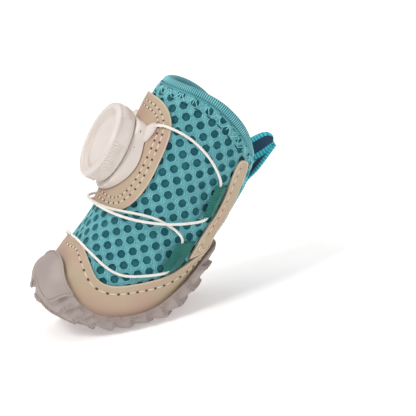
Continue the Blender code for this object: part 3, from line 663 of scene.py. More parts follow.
def make_ribbed_band(name, colour, second, rib_pitch, deep):
    """Woven band with ribs across its run, and painted shade in the grooves between them."""
    material, tree, shader = new_finish(name, 0.8, 0.25)
    base = place_group(tree, mottled_grain, Patch_Scale=140.0, Grain_Scale=3500.0,
                       Colour=(*colour, 1), Second_Colour=(*second, 1))
    run, _ = outline_place(tree)
    rib = calculate(tree, "SINE", calculate(tree, "MULTIPLY", run, 2 * math.pi / rib_pitch))
    rib = calculate(tree, "MULTIPLY_ADD", rib, 0.5, 0.5)
    # The deep colour is painted shade in the grooves between the ribs
    shade = blend_colours(tree, calculate(tree, "MULTIPLY", rib, 0.8), base.outputs["Colour"],
                          (*deep, 1))
    tree.links.new(shade, shader.inputs["Base Color"])
    shader.inputs["Sheen Weight"].default_value = 0.2
    height = calculate(tree, "SUBTRACT", calculate(tree, "MULTIPLY", base.outputs["Grain"], 0.3),
                       rib)
    add_bump(tree, shader, height, 0.6, 0.2 * MM)
    return material


def make_knit_yarn():
    """Yarn with two lines round each hole, and painted shade at the hole's edge and in the groove
    between them.
    """
    material, tree, shader = new_finish("knit_yarn", 0.85, 0.25)
    base = place_group(tree, mottled_grain, Patch_Scale=420.0, Grain_Scale=2600.0,
                       Colour=(0.19, 0.52, 0.56, 1), Second_Colour=(0.26, 0.62, 0.655, 1))
    _, outward = outline_place(tree, "cell")
    turns = YARN_LINES * 2 * math.pi
    wave = calculate(tree, "COSINE", calculate(tree, "MULTIPLY_ADD", outward, turns,
                                               -LINE_START * turns))
    line = calculate(tree, "MULTIPLY_ADD", wave, 0.5, 0.5)
    # The dark colour is painted shade at the hole's edge, in the groove between the yarn lines and
    # at the cell's border
    colour = blend_colours(tree, calculate(tree, "MULTIPLY_ADD", line, -0.9, 0.9),
                           base.outputs["Colour"], (0.035, 0.25, 0.29, 1))
    tree.links.new(colour, shader.inputs["Base Color"])
    shader.inputs["Sheen Weight"].default_value = 0.2
    add_bump(tree, shader, base.outputs["Grain"], 0.6, 0.15 * MM)
    return material


def make_webbing():
    """Green webbing in a fine plain weave, with painted shade in its hollows."""
    material, tree, shader = new_finish("guide_webbing", 0.8, 0.25)
    base = place_group(tree, mottled_grain, Patch_Scale=200.0, Grain_Scale=3500.0,
                       Colour=(0.016, 0.165, 0.135, 1), Second_Colour=(0.028, 0.215, 0.17, 1))
    run, inward = outline_place(tree)
    warp = calculate(tree, "SINE", calculate(tree, "MULTIPLY", run, 2 * math.pi / WEAVE_PITCH))
    weft = calculate(tree, "SINE", calculate(tree, "MULTIPLY", inward, 2 * math.pi / WEAVE_PITCH))
    over = calculate(tree, "MULTIPLY_ADD", calculate(tree, "MULTIPLY", warp, weft), 0.5, 0.5)
    # The dark colour is painted shade in the hollows of the weave
    shade = blend_colours(tree, calculate(tree, "MULTIPLY", over, 0.7), base.outputs["Colour"],
                          (0.004, 0.05, 0.045, 1))
    tree.links.new(shade, shader.inputs["Base Color"])
    shader.inputs["Sheen Weight"].default_value = 0.15
    add_bump(tree, shader, over, 0.6, -0.2 * MM)
    return material


knit_yarn = make_knit_yarn()
webbing = make_webbing()
# The lining's dark teal is also painted shade at the bottom of the knit's holes
lining_and_hole_shade = make_cloth("lining_and_hole_shade", (0.013, 0.125, 0.155), (0.028, 0.185, 0.22), 2000.0)
# Its last colour is painted shade in the grooves of the ribs
elastic = make_ribbed_band("elastic_band", (0.13, 0.47, 0.52), (0.17, 0.55, 0.60), RIB_PITCH,
                           (0.004, 0.075, 0.10))
rib_yarn = make_cloth("rib_yarn", (0.20, 0.57, 0.61), (0.27, 0.67, 0.70), 5000.0)
seam_thread = make_cloth("seam_thread", (0.004, 0.035, 0.05), (0.006, 0.05, 0.07), 5000.0)
foam = make_cloth("insole_foam", (0.05, 0.055, 0.06), (0.07, 0.075, 0.08), 1500.0)
lace_yarn = make_cloth("lace_yarn", (0.90, 0.86, 0.81), (0.86, 0.81, 0.76), 4000.0, 160.0, 0.6,
                       0.1)
sewing_thread = make_cloth("sewing_thread", (0.80, 0.69, 0.55), (0.70, 0.59, 0.45), 5000.0)

# %% [markdown]
# ## Rubber cup sole
#
# The sole is one moulding, so its steps stay crisp but not knife sharp. A thin lip runs round
# its top edge, where the leather goes in, and short ribs stand behind the edge of each step.

# %% Sole with its lip
sole_work = welded("outsole")
sole_outer = outer_faces(sole_work)
sole_rims = sorted(outline_loops(sole_outer), key=len)
rim_line = smoothed_loop(sole_rims[-1], 3)
sole = divided("sole", sole_work, 1, 0.95)
dress(sole, "outsole", rubber)

# %% [markdown]
# A comb of short grooves in the mould would leave such fine ribs in the rubber behind the edge
# of each step. Each rib is a small bar that stands on the step and runs back from its edge.

# %% Ribs behind the edges of the steps
BAR_PITCH = 0.95 * MM
BAR_START = 0.25 * MM
BAR_LENGTH = 1.5 * MM
BAR_WIDTH = 0.36 * MM
BAR_RISE = 0.16 * MM
BAR_SUNK = 0.15 * MM
BAR_TAPER = 0.7
BARS_OVER = 2.4 * MM
BARS_FROM_RIM = 2.2 * MM


def box_between(start, end, aside, out, corners, faces):
    """Add a small bar from start to end, with these half width and height directions."""
    base = len(corners)
    for point in (start, end):
        corners += [point - aside - out * BAR_SUNK, point + aside - out * BAR_SUNK,
                    point + aside * BAR_TAPER + out * BAR_RISE,
                    point - aside * BAR_TAPER + out * BAR_RISE]
    for side in range(4):
        after = (side + 1) % 4
        faces.append((base + side, base + after, base + 4 + after, base + 4 + side))
    faces.append((base + 3, base + 2, base + 1, base))
    faces.append((base + 4, base + 5, base + 6, base + 7))


def add_step_ribs(work):
    corners = []
    faces = []
    for edge in work.edges:
        first, last = edge.verts[0].co, edge.verts[1].co
        middle = (first + last) / 2
        if not is_crease(edge) or not edge.is_convex or middle.z < BARS_OVER:
            continue
        if np.linalg.norm(rim_line - np.array(middle), axis=1).min() < BARS_FROM_RIM:
            continue
        face = max(edge.link_faces, key=lambda side: side.normal.dot(away_from_paw(middle)))
        out = face.normal
        run = (last - first).normalized()
        inward = out.cross(run)
        if inward.dot(face.calc_center_median() - middle) < 0:
            inward = -inward
        count = max(1, round((last - first).length / BAR_PITCH))
        for index in range(count):
            foot = first + (last - first) * ((index + 0.5) / count) + inward * BAR_START
            box_between(foot, foot + inward * BAR_LENGTH, run * BAR_WIDTH / 2, out,
                        corners, faces)
    bars = add_made("sole_ribs", corners, faces, smooth=False, turn_out=True)
    dress(bars, None, rubber)


add_step_ribs(welded("outsole"))

# %% [markdown]
# The top edge of the cup ends in a thin rolled lip. It is a round tube along the rim, as is the
# turned edge of the collar band further down.

# %% Lip round the top edge
def add_tube(name, points, radius, material, sides=8):
    """Round tube along a closed line."""
    ahead = np.roll(points, -1, axis=0) - np.roll(points, 1, axis=0)
    ahead /= np.linalg.norm(ahead, axis=1)[:, None]
    corners = []
    across = np.cross(ahead[0], [0.3, 0.2, 0.9])
    for point, forward in zip(points, ahead):
        across = across - forward * (across @ forward)
        across /= np.linalg.norm(across)
        other = np.cross(forward, across)
        for side in range(sides):
            angle = 2 * math.pi * side / sides
            corners.append(point + radius * (math.cos(angle) * across + math.sin(angle) * other))
    last = (len(points) - 1) * sides
    faces = ring_faces(len(points), sides)
    faces += [(last + side, last + (side + 1) % sides, (side + 1) % sides, side)
              for side in range(sides)]
    return dress(add_made(name, corners, faces), None, material)


LIP_RADIUS = 0.45 * MM
EDGE_LIFT = np.array([0, 0, 0.1 * MM])
lip_line = rim_line + EDGE_LIFT
add_tube("sole_lip", lip_line[::4], LIP_RADIUS, rubber)
print("sole rims:", [len(loop) for loop in sole_rims])

# %% [markdown]
# ## Leather overlays
#
# The toe rand, the front patch and the two back stays are cut from one sheet and sewn on. Their
# cut edges show paler, and a row of stitches runs a few millimetres inside the edge. The holes
# are painted shade in the material, and the thread itself is real geometry, laid over the outline
# map.

# %% Make the overlays
def make_overlay(name, node, levels, material, crease=0.9):
    """Smooth copy of a cut piece with its outline map on the outer side."""
    work = welded(node)
    outer = outer_faces(work)
    for face in work.faces:
        face.material_index = 0
    loops = outline_loops(outer)
    chosen = max(loops, key=lambda loop: loop[:, 2].mean())
    piece = divided(name, work, levels, crease)
    loop = smoothed_loop(chosen)
    length = outline_map(piece, loop)
    dress(piece, node, material)
    return piece, length, loop


rand, rand_run, _ = make_overlay("rand_leather", "toe_rand", 2, rand_leather)
patch, patch_run, _ = make_overlay("patch_leather", "front_patch", 2, patch_leather)
stays = {}
for hand in ("left", "right"):
    stays[hand] = make_overlay("stay_leather_" + hand, "back_stay_" + hand, 2,
                               stay_leather)
print("outlines in mm:", round(rand_run / MM), round(patch_run / MM),
      round(stays["left"][1] / MM))


# %% [markdown]
# A stitch is a short thread that swells in its middle and dives into the sheet at both ends. It
# is drawn on the flat pattern and carried to the real surface point by point. The same helper
# lays every thread and rib of the boot.

# %% Lay stitches along an outline
STITCH_LENGTH = 2.4 * MM
STITCH_WIDTH = 0.6 * MM
STITCH_RISE = 0.3 * MM
FLAT_STEP = 0.15 * MM
THREAD_SIDES = 5
END_SWELL = 0.12
THREAD_SUNK = 0.35
FACES_OUT = 0.25


def outward_faces(mesh):
    """Faces of a mesh that point away from the paw."""
    return {face.index for face in mesh.polygons
            if face.normal.dot(away_from_paw(face.center)) > FACES_OUT}


def add_threads(name, pattern, ends, width, rise, material, lift=0.0, steps=5):
    """Threads laid over a flat pattern, each from one flat place to another."""
    corners = []
    faces = []
    for start, end in ends:
        base = len(corners)
        start, end = np.array(start), np.array(end)
        stride = (end - start) / np.linalg.norm(end - start) * FLAT_STEP
        for step in range(steps):
            share = step / (steps - 1)
            flat = start + share * (end - start)
            point, out, _ = pattern.place(*flat)
            ahead = pattern.place(*(flat + stride))[0] - pattern.place(*(flat - stride))[0]
            across = ahead.cross(out).normalized()
            swell = math.sin(math.pi * (END_SWELL + (1 - 2 * END_SWELL) * share))
            for side in range(THREAD_SIDES):
                angle = math.pi * side / (THREAD_SIDES - 1)
                corners.append(point + across * (0.5 * width * math.cos(angle) * swell)
                               + out * (lift + rise * (math.sin(angle) * swell - THREAD_SUNK)))
        last = base + (steps - 1) * THREAD_SIDES
        faces += ring_faces(steps, THREAD_SIDES, base, False)
        faces.append(tuple(base + side for side in range(THREAD_SIDES))[::-1])
        faces.append(tuple(last + side for side in range(THREAD_SIDES)))
    return dress(add_made(name, corners, faces), None, material)


def dashes(run_length, pitch, inset, length, start=0.5):
    """Flat ends of a row of dashes along an outline."""
    return [(((index + start) * pitch - length / 2, inset),
             ((index + start) * pitch + length / 2, inset))
            for index in range(int(run_length / pitch))]


for name, piece, run_length, inset in (
        ("rand_stitches", rand, rand_run, EDGE_ROW),
        ("patch_stitches_outer", patch, patch_run, EDGE_ROW),
        ("patch_stitches_inner", patch, patch_run, SECOND_ROW)):
    pattern = FlatPattern(piece.data, "outline", outward_faces(piece.data))
    add_threads(name, pattern, dashes(run_length, PITCH, inset, STITCH_LENGTH), STITCH_WIDTH,
                STITCH_RISE, sewing_thread)

# %% [markdown]
# The photo shows one row on the stay, along its front side. Each stitch of the outline is kept
# if it lies in front of the middle of the stay at its own height.

# %% One row on the front side of each stay
NEEDLE_HOLE = 0.5 * MM
HOLE_AFTER = 0.25 * MM
needle_shade = make_cloth("needle_shade", (0.05, 0.03, 0.02), (0.08, 0.05, 0.035), 3000.0)
for hand, (piece, run_length, line) in stays.items():
    pattern = FlatPattern(piece.data, "outline", outward_faces(piece.data))
    row = []
    for start, end in dashes(run_length, PITCH, STAY_ROW, STITCH_LENGTH):
        spot = pattern.place(*start)[0]
        beside = line[np.abs(line[:, 2] - spot.z) < 1.0 * MM]
        if spot.y < beside[:, 1].mean():
            row.append((start, end))
    add_threads("stay_stitches_" + hand, pattern, row, STITCH_WIDTH, STITCH_RISE, sewing_thread)
    # Short dark threads at the stitch ends are painted shade in the needle holes
    holes = [((end[0] + HOLE_AFTER, STAY_ROW), (end[0] + HOLE_AFTER + NEEDLE_HOLE, STAY_ROW))
             for _, end in row]
    add_threads("stay_holes_" + hand, pattern, holes, NEEDLE_HOLE, 0.08 * MM, needle_shade,
                0.02 * MM)

# %% [markdown]
# ## Knitted mesh
#
# The upper is a warp-knit mesh: rows of six-sided holes with two lines of yarn round each. Such
# a panel is knitted flat and wrapped round the last. It is made the same way here. Half of the
# upper's outer skin is unwrapped flat, a lattice of holes is drawn on the flat panel, and each
# drawn point is carried back to the skin. A darker backing shows through the holes; its dark
# colour is painted shade in them.

# %% Backing and lining
HOLE_DEPTH = 0.7 * MM
upper_work = welded("upper")
upper_outer = outer_faces(upper_work)
upper_loops = sorted(outline_loops(upper_outer), key=lambda loop: loop[:, 2].mean())
collar_line = smoothed_loop(upper_loops[-1])
for face in upper_work.faces:
    face.material_index = 0
for face in upper_outer:
    face.material_index = 1
skin = divided("upper_backing", upper_work, 2, 0.9)
outside = {face.index for face in skin.data.polygons if face.material_index == 1}
print("upper skin:", len(outside), "outer faces")

# %% [markdown]
# The pull of the lace leaves three soft creases on each side: one in front of each webbing
# guide, and one across the side where the leg meets the foot. They are given in the
# boot's side view. The skin sinks there before the knit is laid on it, so the holes follow.

# %% Crease the skin
# Start and end (mm behind the boot's middle, mm up), half width and depth in mm
SKIN_CREASES = [((35.3, 45.5), (32.2, 36.0), 2.4, 1.0), ((16.6, 26.0), (14.0, 19.0), 2.2, 0.8),
                ((8.0, 42.5), (30.5, 28.5), 3.0, 0.8)]
CREASES_FULL_AT = 14 * MM


def crease_depth(place):
    """How far the creases pull the skin in at a place."""
    spot = np.array([place.y, place.z]) / MM
    depth = 0.0
    for start, end, half_width, deepest in SKIN_CREASES:
        run = np.array(end) - np.array(start)
        share = min(1.0, max(0.0, (spot - start) @ run / (run @ run)))
        gap = np.linalg.norm(spot - start - share * run)
        depth += deepest * MM * math.exp(-(gap / half_width) ** 2)
    return depth * min(1.0, abs(place.x) / CREASES_FULL_AT)


def crease_skin(mesh):
    sunk = [corner.co - corner.normal * crease_depth(corner.co) for corner in mesh.vertices]
    for corner, place in zip(mesh.vertices, sunk):
        corner.co = place
    mesh.update()


crease_skin(skin.data)
print("creases on each side:", len(SKIN_CREASES))

# %% [markdown]
# Only the left half is unwrapped, and the right one mirrors it. The two meet down the middle of
# the front and of the heel.

# %% Unwrap half of the skin
UNDER_RUBBER = 5 * MM


def half_skin():
    """Outer skin of the left half, above the sole."""
    work = bmesh.new()
    work.from_mesh(skin.data)
    work.faces.ensure_lookup_table()
    sole_tree = surface_tree(nodes["outsole"].data)
    drop = []
    for face in work.faces:
        middle = face.calc_center_median()
        hidden = sole_tree.ray_cast(middle, face.normal, UNDER_RUBBER)[0] is not None
        if face.index not in outside or hidden:
            drop.append(face)
    bmesh.ops.delete(work, geom=drop, context="FACES")
    everything = work.verts[:] + work.edges[:] + work.faces[:]
    bmesh.ops.bisect_plane(work, geom=everything, dist=1e-7, plane_co=(0, 0, 0),
                           plane_no=(-1, 0, 0), clear_outer=True)
    mesh = bpy.data.meshes.new("half_skin")
    work.to_mesh(mesh)
    work.free()
    mesh.shade_smooth()
    return add_object("half_skin", mesh)


half = half_skin()
bpy.ops.object.select_all(action="DESELECT")
bpy.context.view_layer.objects.active = half
half.select_set(True)
bpy.ops.object.mode_set(mode="EDIT")
bpy.ops.mesh.select_all(action="SELECT")
bpy.ops.uv.unwrap(method="ANGLE_BASED", margin=0.0)
bpy.ops.object.mode_set(mode="OBJECT")
print("half skin:", len(half.data.polygons), "faces")

# %% [markdown]
# The flat panel comes out at any size and angle. The faces that look straight sideways are laid
# over the boot's side view as well as they fit, so the panel has real size and stands upright.

# %% Turn and scale the flat panel
SIDEWAYS = 0.9


def level_panel(mesh):
    """Give the flat layout real size, with the boot's side view as its direction."""
    layer = mesh.uv_layers.active.data
    flat = []
    seen = []
    for face in mesh.polygons:
        if face.normal.x > SIDEWAYS:
            for index in face.loop_indices:
                flat.append(complex(*layer[index].uv))
                co = mesh.vertices[mesh.loops[index].vertex_index].co
                seen.append(complex(co.y, co.z))
    flat = np.array(flat)
    seen = np.array(seen)
    best = None
    for mirrored in (False, True):
        source = np.conj(flat) if mirrored else flat
        scale = (np.vdot(source - source.mean(), seen - seen.mean())
                 / np.vdot(source - source.mean(), source - source.mean()))
        miss = np.abs(scale * (source - source.mean()) - (seen - seen.mean())).mean()
        if best is None or miss < best[0]:
            best = (miss, mirrored, scale, seen.mean() - scale * source.mean())
    miss, mirrored, scale, shift = best
    for item in layer:
        value = complex(*item.uv)
        value = (value.conjugate() if mirrored else value) * scale + shift
        item.uv = (value.real, value.imag)
    return miss


miss = level_panel(half.data)
print("panel fits the side view to", round(miss / MM, 2), "mm")

# %% [markdown]
# The holes stand in rows that lean a little, as in the photo. Each cell of the lattice is a set
# of rings from the edge of its hole to its border: two raised lines of yarn with a groove between
# them. Small lumps keep the rings from looking machined.

# %% Draw the lattice of holes and carry it to the skin
HOLE_STEP = 4.1 * MM
LEAN = math.radians(10)
HOLE_RADIUS = 1.44 * MM
ROUND_STEPS = 16
# Each ring of a cell: share of the way from the hole's edge to the cell's border, and height
CELL_RINGS = [(-0.06, -0.75), (0.0, 0.02), (0.16, 0.30), (0.36, 0.36), (0.56, 0.10),
              (0.78, 0.30), (1.0, 0.12)]
REACH_OF_SHEET = 0.75
LUMP = 0.06


def cell_border(angle, across, upward):
    """Distance from a cell's middle to the border of its slanted square."""
    direction = np.array([math.cos(angle), math.sin(angle)])
    sides = np.linalg.solve(np.array([across, upward]).T, direction)
    return 0.5 / np.abs(sides).max()


def hole_edge(angle):
    """Six-sided hole with round corners."""
    return HOLE_RADIUS * (1 + 0.06 * math.cos(6 * angle))


def corner_angles(across, upward):
    """Directions to evenly spaced points on the border of a cell."""
    ring = []
    for side in range(4):
        for step in range(ROUND_STEPS // 4):
            share = step / (ROUND_STEPS // 4) - 0.5
            a, b = ((0.5, share), (-share, 0.5), (-0.5, -share), (share, -0.5))[side]
            point = a * across + b * upward
            ring.append(math.atan2(point[1], point[0]))
    return ring


def make_knit(name, mirror):
    pattern = FlatPattern(half.data, half.data.uv_layers.active.name)
    places = np.array([place[:2] for place in pattern.flat])
    low, high = places.min(axis=0), places.max(axis=0)
    across = np.array([HOLE_STEP, 0.0])
    upward = HOLE_STEP * np.array([-math.sin(LEAN), math.cos(LEAN)])
    angles = corner_angles(across, upward)
    corners = []
    faces = []
    rows = int((high[1] - low[1]) / upward[1]) + 2
    for row in range(rows):
        start = low[0] - (low[0] + row * upward[0]) % HOLE_STEP - HOLE_STEP
        for column in range(int((high[0] - low[0]) / HOLE_STEP) + 3):
            middle = np.array([start + row * upward[0] % HOLE_STEP + column * HOLE_STEP,
                               low[1] + row * upward[1]])
            if pattern.place(*middle)[2] > REACH_OF_SHEET * HOLE_STEP:
                continue
            base = len(corners)
            for ring, (share, level) in enumerate(CELL_RINGS):
                for spoke, angle in enumerate(angles):
                    edge = hole_edge(angle)
                    reach = edge + share * (cell_border(angle, across, upward) - edge)
                    flat = middle + reach * np.array([math.cos(angle), math.sin(angle)])
                    point, out, _ = pattern.place(*flat)
                    lump = LUMP * math.sin(2.4 * spoke + 1.7 * ring) if 0 < share < 1 else 0.0
                    point = point + out * ((level + lump) * MM)
                    corners.append((-point.x, point.y, point.z) if mirror else tuple(point))
            cell = ring_faces(len(CELL_RINGS), ROUND_STEPS, base)
            faces += cell if mirror else [face[::-1] for face in cell]
    mesh = bpy.data.meshes.new(name)
    mesh.from_pydata(corners, [], faces)
    layer = mesh.uv_layers.new(name="cell")
    for item in mesh.loops:
        ring, spoke = divmod(item.vertex_index, ROUND_STEPS)
        layer.data[item.index].uv = (spoke / ROUND_STEPS, CELL_RINGS[ring % len(CELL_RINGS)][0])
    work = bmesh.new()
    work.from_mesh(mesh)
    bmesh.ops.dissolve_degenerate(work, edges=work.edges, dist=1e-5)
    bmesh.ops.remove_doubles(work, verts=work.verts, dist=2e-6)
    work.to_mesh(mesh)
    work.free()
    mesh.shade_smooth()
    return dress(add_object(name, mesh), None, knit_yarn)


knit_left = make_knit("knit_left", False)
knit_right = make_knit("knit_right", True)
bpy.data.objects.remove(half)

# %% [markdown]
# The knit is open, and its back is a second layer that shows through the holes, darker than the
# yarn as painted shade in the holes. That layer sinks under the knit, except near the collar, where
# both are pressed into the band.

# %% Sink the backing under the holes
collar_run = outline_map(skin, collar_line, "collar")
seam_pattern = FlatPattern(skin.data, "collar", outside)
shift = {}
for face in skin.data.polygons:
    if face.index in outside:
        for index in face.vertices:
            shift[index] = skin.data.vertices[index].normal.copy()
for index, out in shift.items():
    under_edge = np.linalg.norm(collar_line - np.array(skin.data.vertices[index].co), axis=1).min()
    skin.data.vertices[index].co -= out * HOLE_DEPTH * min(1.0, under_edge / (2 * HOLE_DEPTH))
dress(skin, "upper", lining_and_hole_shade)

# %% [markdown]
# ## Collar binding
#
# A ribbed elastic band is folded over the collar edge and held by two rows of stitches: short
# dark ones along its foot, and long dark ones a little lower, with thread from one to the other.
# Its ribs are real ridges, laid over the band in the same way as the stitches.

# %% Bind the collar
SEAM_PITCH = 5.7 * MM
SEAM_FOOT = 0.15 * MM
SEAM_LOW = 3.8 * MM
OVER_KNIT = 0.36 * MM
BAND_TOP = 4.0 * MM
THREAD_FOOT = 0.5 * MM

binding = divided("binding_elastic", welded("collar_binding"), 2, 0.0)
band_run = outline_map(binding, collar_line)
dress(binding, "collar_binding", elastic)
band_pattern = FlatPattern(binding.data, "outline", outward_faces(binding.data))
ribs = [(index + 0.75) * RIB_PITCH for index in range(int(band_run / RIB_PITCH))]
add_threads("binding_ribs", band_pattern, [((run, THREAD_FOOT), (run, BAND_TOP)) for run in ribs],
            0.38 * MM, 0.24 * MM, rib_yarn, steps=7)

# %% [markdown]
# A turned-in lower edge would make a soft roll where the band meets the knit. It is a tube along
# the knit's top edge, and it closes the gap between the two.

# %% Turned edge of the band
EDGE_RADIUS = 0.42 * MM
add_tube("band_edge", collar_line[::4] + EDGE_LIFT, EDGE_RADIUS, elastic)

# %% [markdown]
# Two rows of dark dashes hold the band. Light thread zigzags between them, and three short ribs
# stand under each point of the zigzag. All of it lies over the knit.

# %% Sew the band on
seams = [(index + 0.5) * SEAM_PITCH for index in range(int(collar_run / SEAM_PITCH))]
zigzag = []
short_ribs = []
for run in seams:
    zigzag += [((run, THREAD_FOOT), (run + SEAM_PITCH / 2, SEAM_LOW)),
               ((run + SEAM_PITCH / 2, SEAM_LOW), (run + SEAM_PITCH, THREAD_FOOT))]
    short_ribs += [((run + step * RIB_PITCH, THREAD_FOOT), (run + step * RIB_PITCH, reach * MM))
                   for step, reach in ((-1, 1.8), (0, 2.9), (1, 1.9))]
add_threads("band_zigzag", seam_pattern, zigzag, 0.36 * MM, 0.2 * MM, rib_yarn,
            OVER_KNIT)
add_threads("band_short_ribs", seam_pattern, short_ribs, 0.42 * MM, 0.2 * MM, rib_yarn,
            OVER_KNIT)
add_threads("seam_dashes_foot", seam_pattern, dashes(collar_run, SEAM_PITCH, SEAM_FOOT, 1.1 * MM),
            0.7 * MM, 0.3 * MM, seam_thread, OVER_KNIT)
add_threads("seam_dashes_low", seam_pattern,
            dashes(collar_run, SEAM_PITCH, SEAM_LOW, 3.0 * MM, 1.0), 0.55 * MM, 0.3 * MM,
            seam_thread, OVER_KNIT)

# %% [markdown]
# ## Pull loop
#
# One tape climbs the heel, leaves it as a loop and ends on the collar. It has a dark middle and
# bright woven borders. The CAD node gives its ends and its tip; the loop between them is drawn
# as one round curve, and the tape is swept along it with its borders as thicker ribs.

# %% Finish of the tape
TAPE_BORDER = 2.2 * MM
BORDER_BLUR = 0.2 * MM
DOT_PITCH = 1.2 * MM


def make_tape():
    material, tree, shader = new_finish("loop_tape", 0.7, 0.3)
    run, inward = outline_place(tree)
    dots = calculate(tree, "PINGPONG", calculate(tree, "DIVIDE", run, DOT_PITCH), 0.5)
    border = calculate(tree, "SUBTRACT", 1.0, ramp_between(
        tree, inward, TAPE_BORDER - BORDER_BLUR, TAPE_BORDER))
    bright = blend_colours(tree, ramp_between(tree, dots, 0.06, 0.2), (0.012, 0.17, 0.27, 1),
                           (0.07, 0.54, 0.62, 1))
    colour = blend_colours(tree, border, (0.010, 0.050, 0.10, 1), bright)
    tree.links.new(colour, shader.inputs["Base Color"])
    add_bump(tree, shader, dots, 0.6, 0.2 * MM)
    return material


tape = make_tape()

# %% [markdown]
# The tape lies flat on the heel up to a point below the tip, bends out, turns round at the tip
# and comes back to the band.

# %% Route of the tape, from its CAD node and the heel
TAPE_HALF = 4.2 * MM
TAPE_WALL = 0.9 * MM
TAPE_OFF_HEEL = 0.3 * MM
TIP_ROUND = 1.5 * MM
LEAVES_BELOW_TIP = 10.5 * MM
END_DROP = 2.6 * MM


def heel_point(tree, height):
    """Point of the heel's middle at this height, and the way out."""
    point, out, _, _ = tree.ray_cast(Vector((0, 0.12, height)), Vector((0, -1, 0)))
    return np.array(point), np.array(out)


def tape_route():
    corners = corner_array("pull_loop")
    low = corners[:, 2].min()
    tip = corners[corners[:, 1] > corners[:, 1].max() - 0.6 * MM].mean(axis=0)
    tip[0] = 0.0
    heel = surface_tree(nodes["upper"].data)
    leaves_at = tip[2] - LEAVES_BELOW_TIP
    climb = []
    for height in np.linspace(low, leaves_at, 8):
        point, out = heel_point(heel, height)
        climb.append(point + out * (TAPE_WALL / 2 + TAPE_OFF_HEEL))
    high = corners[corners[:, 2] > tip[2] - 1.0 * MM]
    end = high[high[:, 1] < high[:, 1].min() + 0.8 * MM].mean(axis=0)
    end = np.array([0.0, end[1] + 0.6 * MM, end[2] - END_DROP])
    start = climb[-1]
    back = (end - tip) / np.linalg.norm(end - tip)
    down = (start - tip) / np.linalg.norm(start - tip)
    sag = np.array([0, -0.35, -0.9]) * MM
    bulge = np.array([0, -0.1, 0.5]) * MM
    loop = [start + (tip - start) * 0.35 + sag, tip + down * 3.2 * MM + sag * 0.4,
            tip + down * 0.9 * MM, tip + back * 0.6 * MM + np.array([0, 0, 0.5]) * TIP_ROUND,
            tip + back * 2.6 * MM + np.array([0, 0, 0.8]) * TIP_ROUND,
            tip + (end - tip) * 0.6 + bulge, end]
    return np.array(climb + loop), len(climb)


def smooth_line(points, steps):
    """Smooth curve through the points, with this many steps between two of them."""
    padded = np.vstack([2 * points[0] - points[1], points, 2 * points[-1] - points[-2]])
    line = []
    for index in range(1, len(padded) - 2):
        a, b, c, d = padded[index - 1:index + 3]
        for share in np.arange(steps) / steps:
            line.append(b + 0.5 * share * (c - a + share * (2 * a - 5 * b + 4 * c - d
                                                            + share * (3 * (b - c) + d - a))))
    return np.array(line + [points[-1]])


# %% [markdown]
# The tape's cross-section is swept along the route. It bends round the heel where it is sewn
# down, and past the tip it twists, so its dark face and its borders show from the side.

# %% Sweep the tape
TAPE_STEPS = 6
LOOP_TWIST = math.radians(-78)
TWIST_AFTER = 2.0
TWIST_OVER = 3.6
FLATTENS_OVER = 1.5
HEEL_ROUND = 2 * 17.0 * MM
# Across the tape: share of half its width, and thickness as a share of the wall
TAPE_SECTION = [(-1.0, 0.35), (-0.95, 0.95), (-0.78, 1.15), (-0.55, 1.1), (-0.47, 0.75),
                (0.0, 0.75), (0.47, 0.75), (0.55, 1.1), (0.78, 1.15), (0.95, 0.95), (1.0, 0.35)]


def make_loop_tape():
    route, climbs = tape_route()
    line = smooth_line(route, TAPE_STEPS)
    ahead = np.gradient(line, axis=0)
    ahead /= np.linalg.norm(ahead, axis=1)[:, None]
    past_heel = np.arange(len(line)) / TAPE_STEPS - climbs
    after_tip = np.clip((past_heel - TWIST_AFTER) / TWIST_OVER, 0, 1)
    along = np.concatenate([[0], np.cumsum(np.linalg.norm(np.diff(line, axis=0), axis=1))])
    on_heel = np.clip(1 - (past_heel + FLATTENS_OVER) / FLATTENS_OVER, 0, 1)
    aside = np.array([1.0, 0.0, 0.0])
    corners = []
    flat_places = []
    for side in (1, -1):
        for index, point in enumerate(line):
            level = np.cross(ahead[index], aside)
            turn = LOOP_TWIST * after_tip[index]
            width = math.cos(turn) * aside + math.sin(turn) * level
            face = np.cross(width, ahead[index])
            for share, thick in TAPE_SECTION:
                reach = share * TAPE_HALF
                drop = np.array([0, -reach ** 2 / HEEL_ROUND, 0]) * on_heel[index]
                corners.append(point + width * reach + drop
                               + side * face * thick * TAPE_WALL / 2)
                flat_places.append((along[index], TAPE_HALF * (1 - abs(share))))
    rows, columns = len(line), len(TAPE_SECTION)
    other = rows * columns
    faces = ring_faces(rows, columns, 0, False) + ring_faces(rows, columns, other, False)
    for row in range(rows - 1):
        for column in (0, columns - 1):
            low = row * columns + column
            faces.append((low, low + columns, low + columns + other, low + other))
    for column in range(columns - 1):
        for row in (0, rows - 1):
            low = row * columns + column
            faces.append((low, low + 1, low + 1 + other, low + other))
    piece = add_made("loop_tape", corners, faces, turn_out=True, sharp_over=CREASE_OVER)
    layer = piece.data.uv_layers.new(name="outline")
    for item in piece.data.loops:
        layer.data[item.index].uv = flat_places[item.vertex_index]
    return dress(piece, "pull_loop", tape)


make_loop_tape()

# %% [markdown]
# ## Lace guides
#
# Four folded pieces of dark green webbing come out beside the stays and above the rand. The lace
# runs through their folds.

# %% Webbing of the guides
for level in ("upper", "lower"):
    for hand in ("left", "right"):
        node = f"{level}_guide_{hand}"
        make_overlay(node + "_webbing", node, 2, webbing, 0.8)

# %% [markdown]
# ## Lace
#
# The lace is a thin coated cord that the dial pulls tight, so it keeps the CAD route.

# %% Round the lace
for hand in ("left", "right"):
    node = "lace_" + hand
    cord = divided(node + "_cord", welded(node), 1, 0.0)
    dress(cord, node, lace_yarn)

# %% [markdown]
# ## Dial
#
# The knob is turned: a round body with a rim, a dished face and groups of grip ribs.

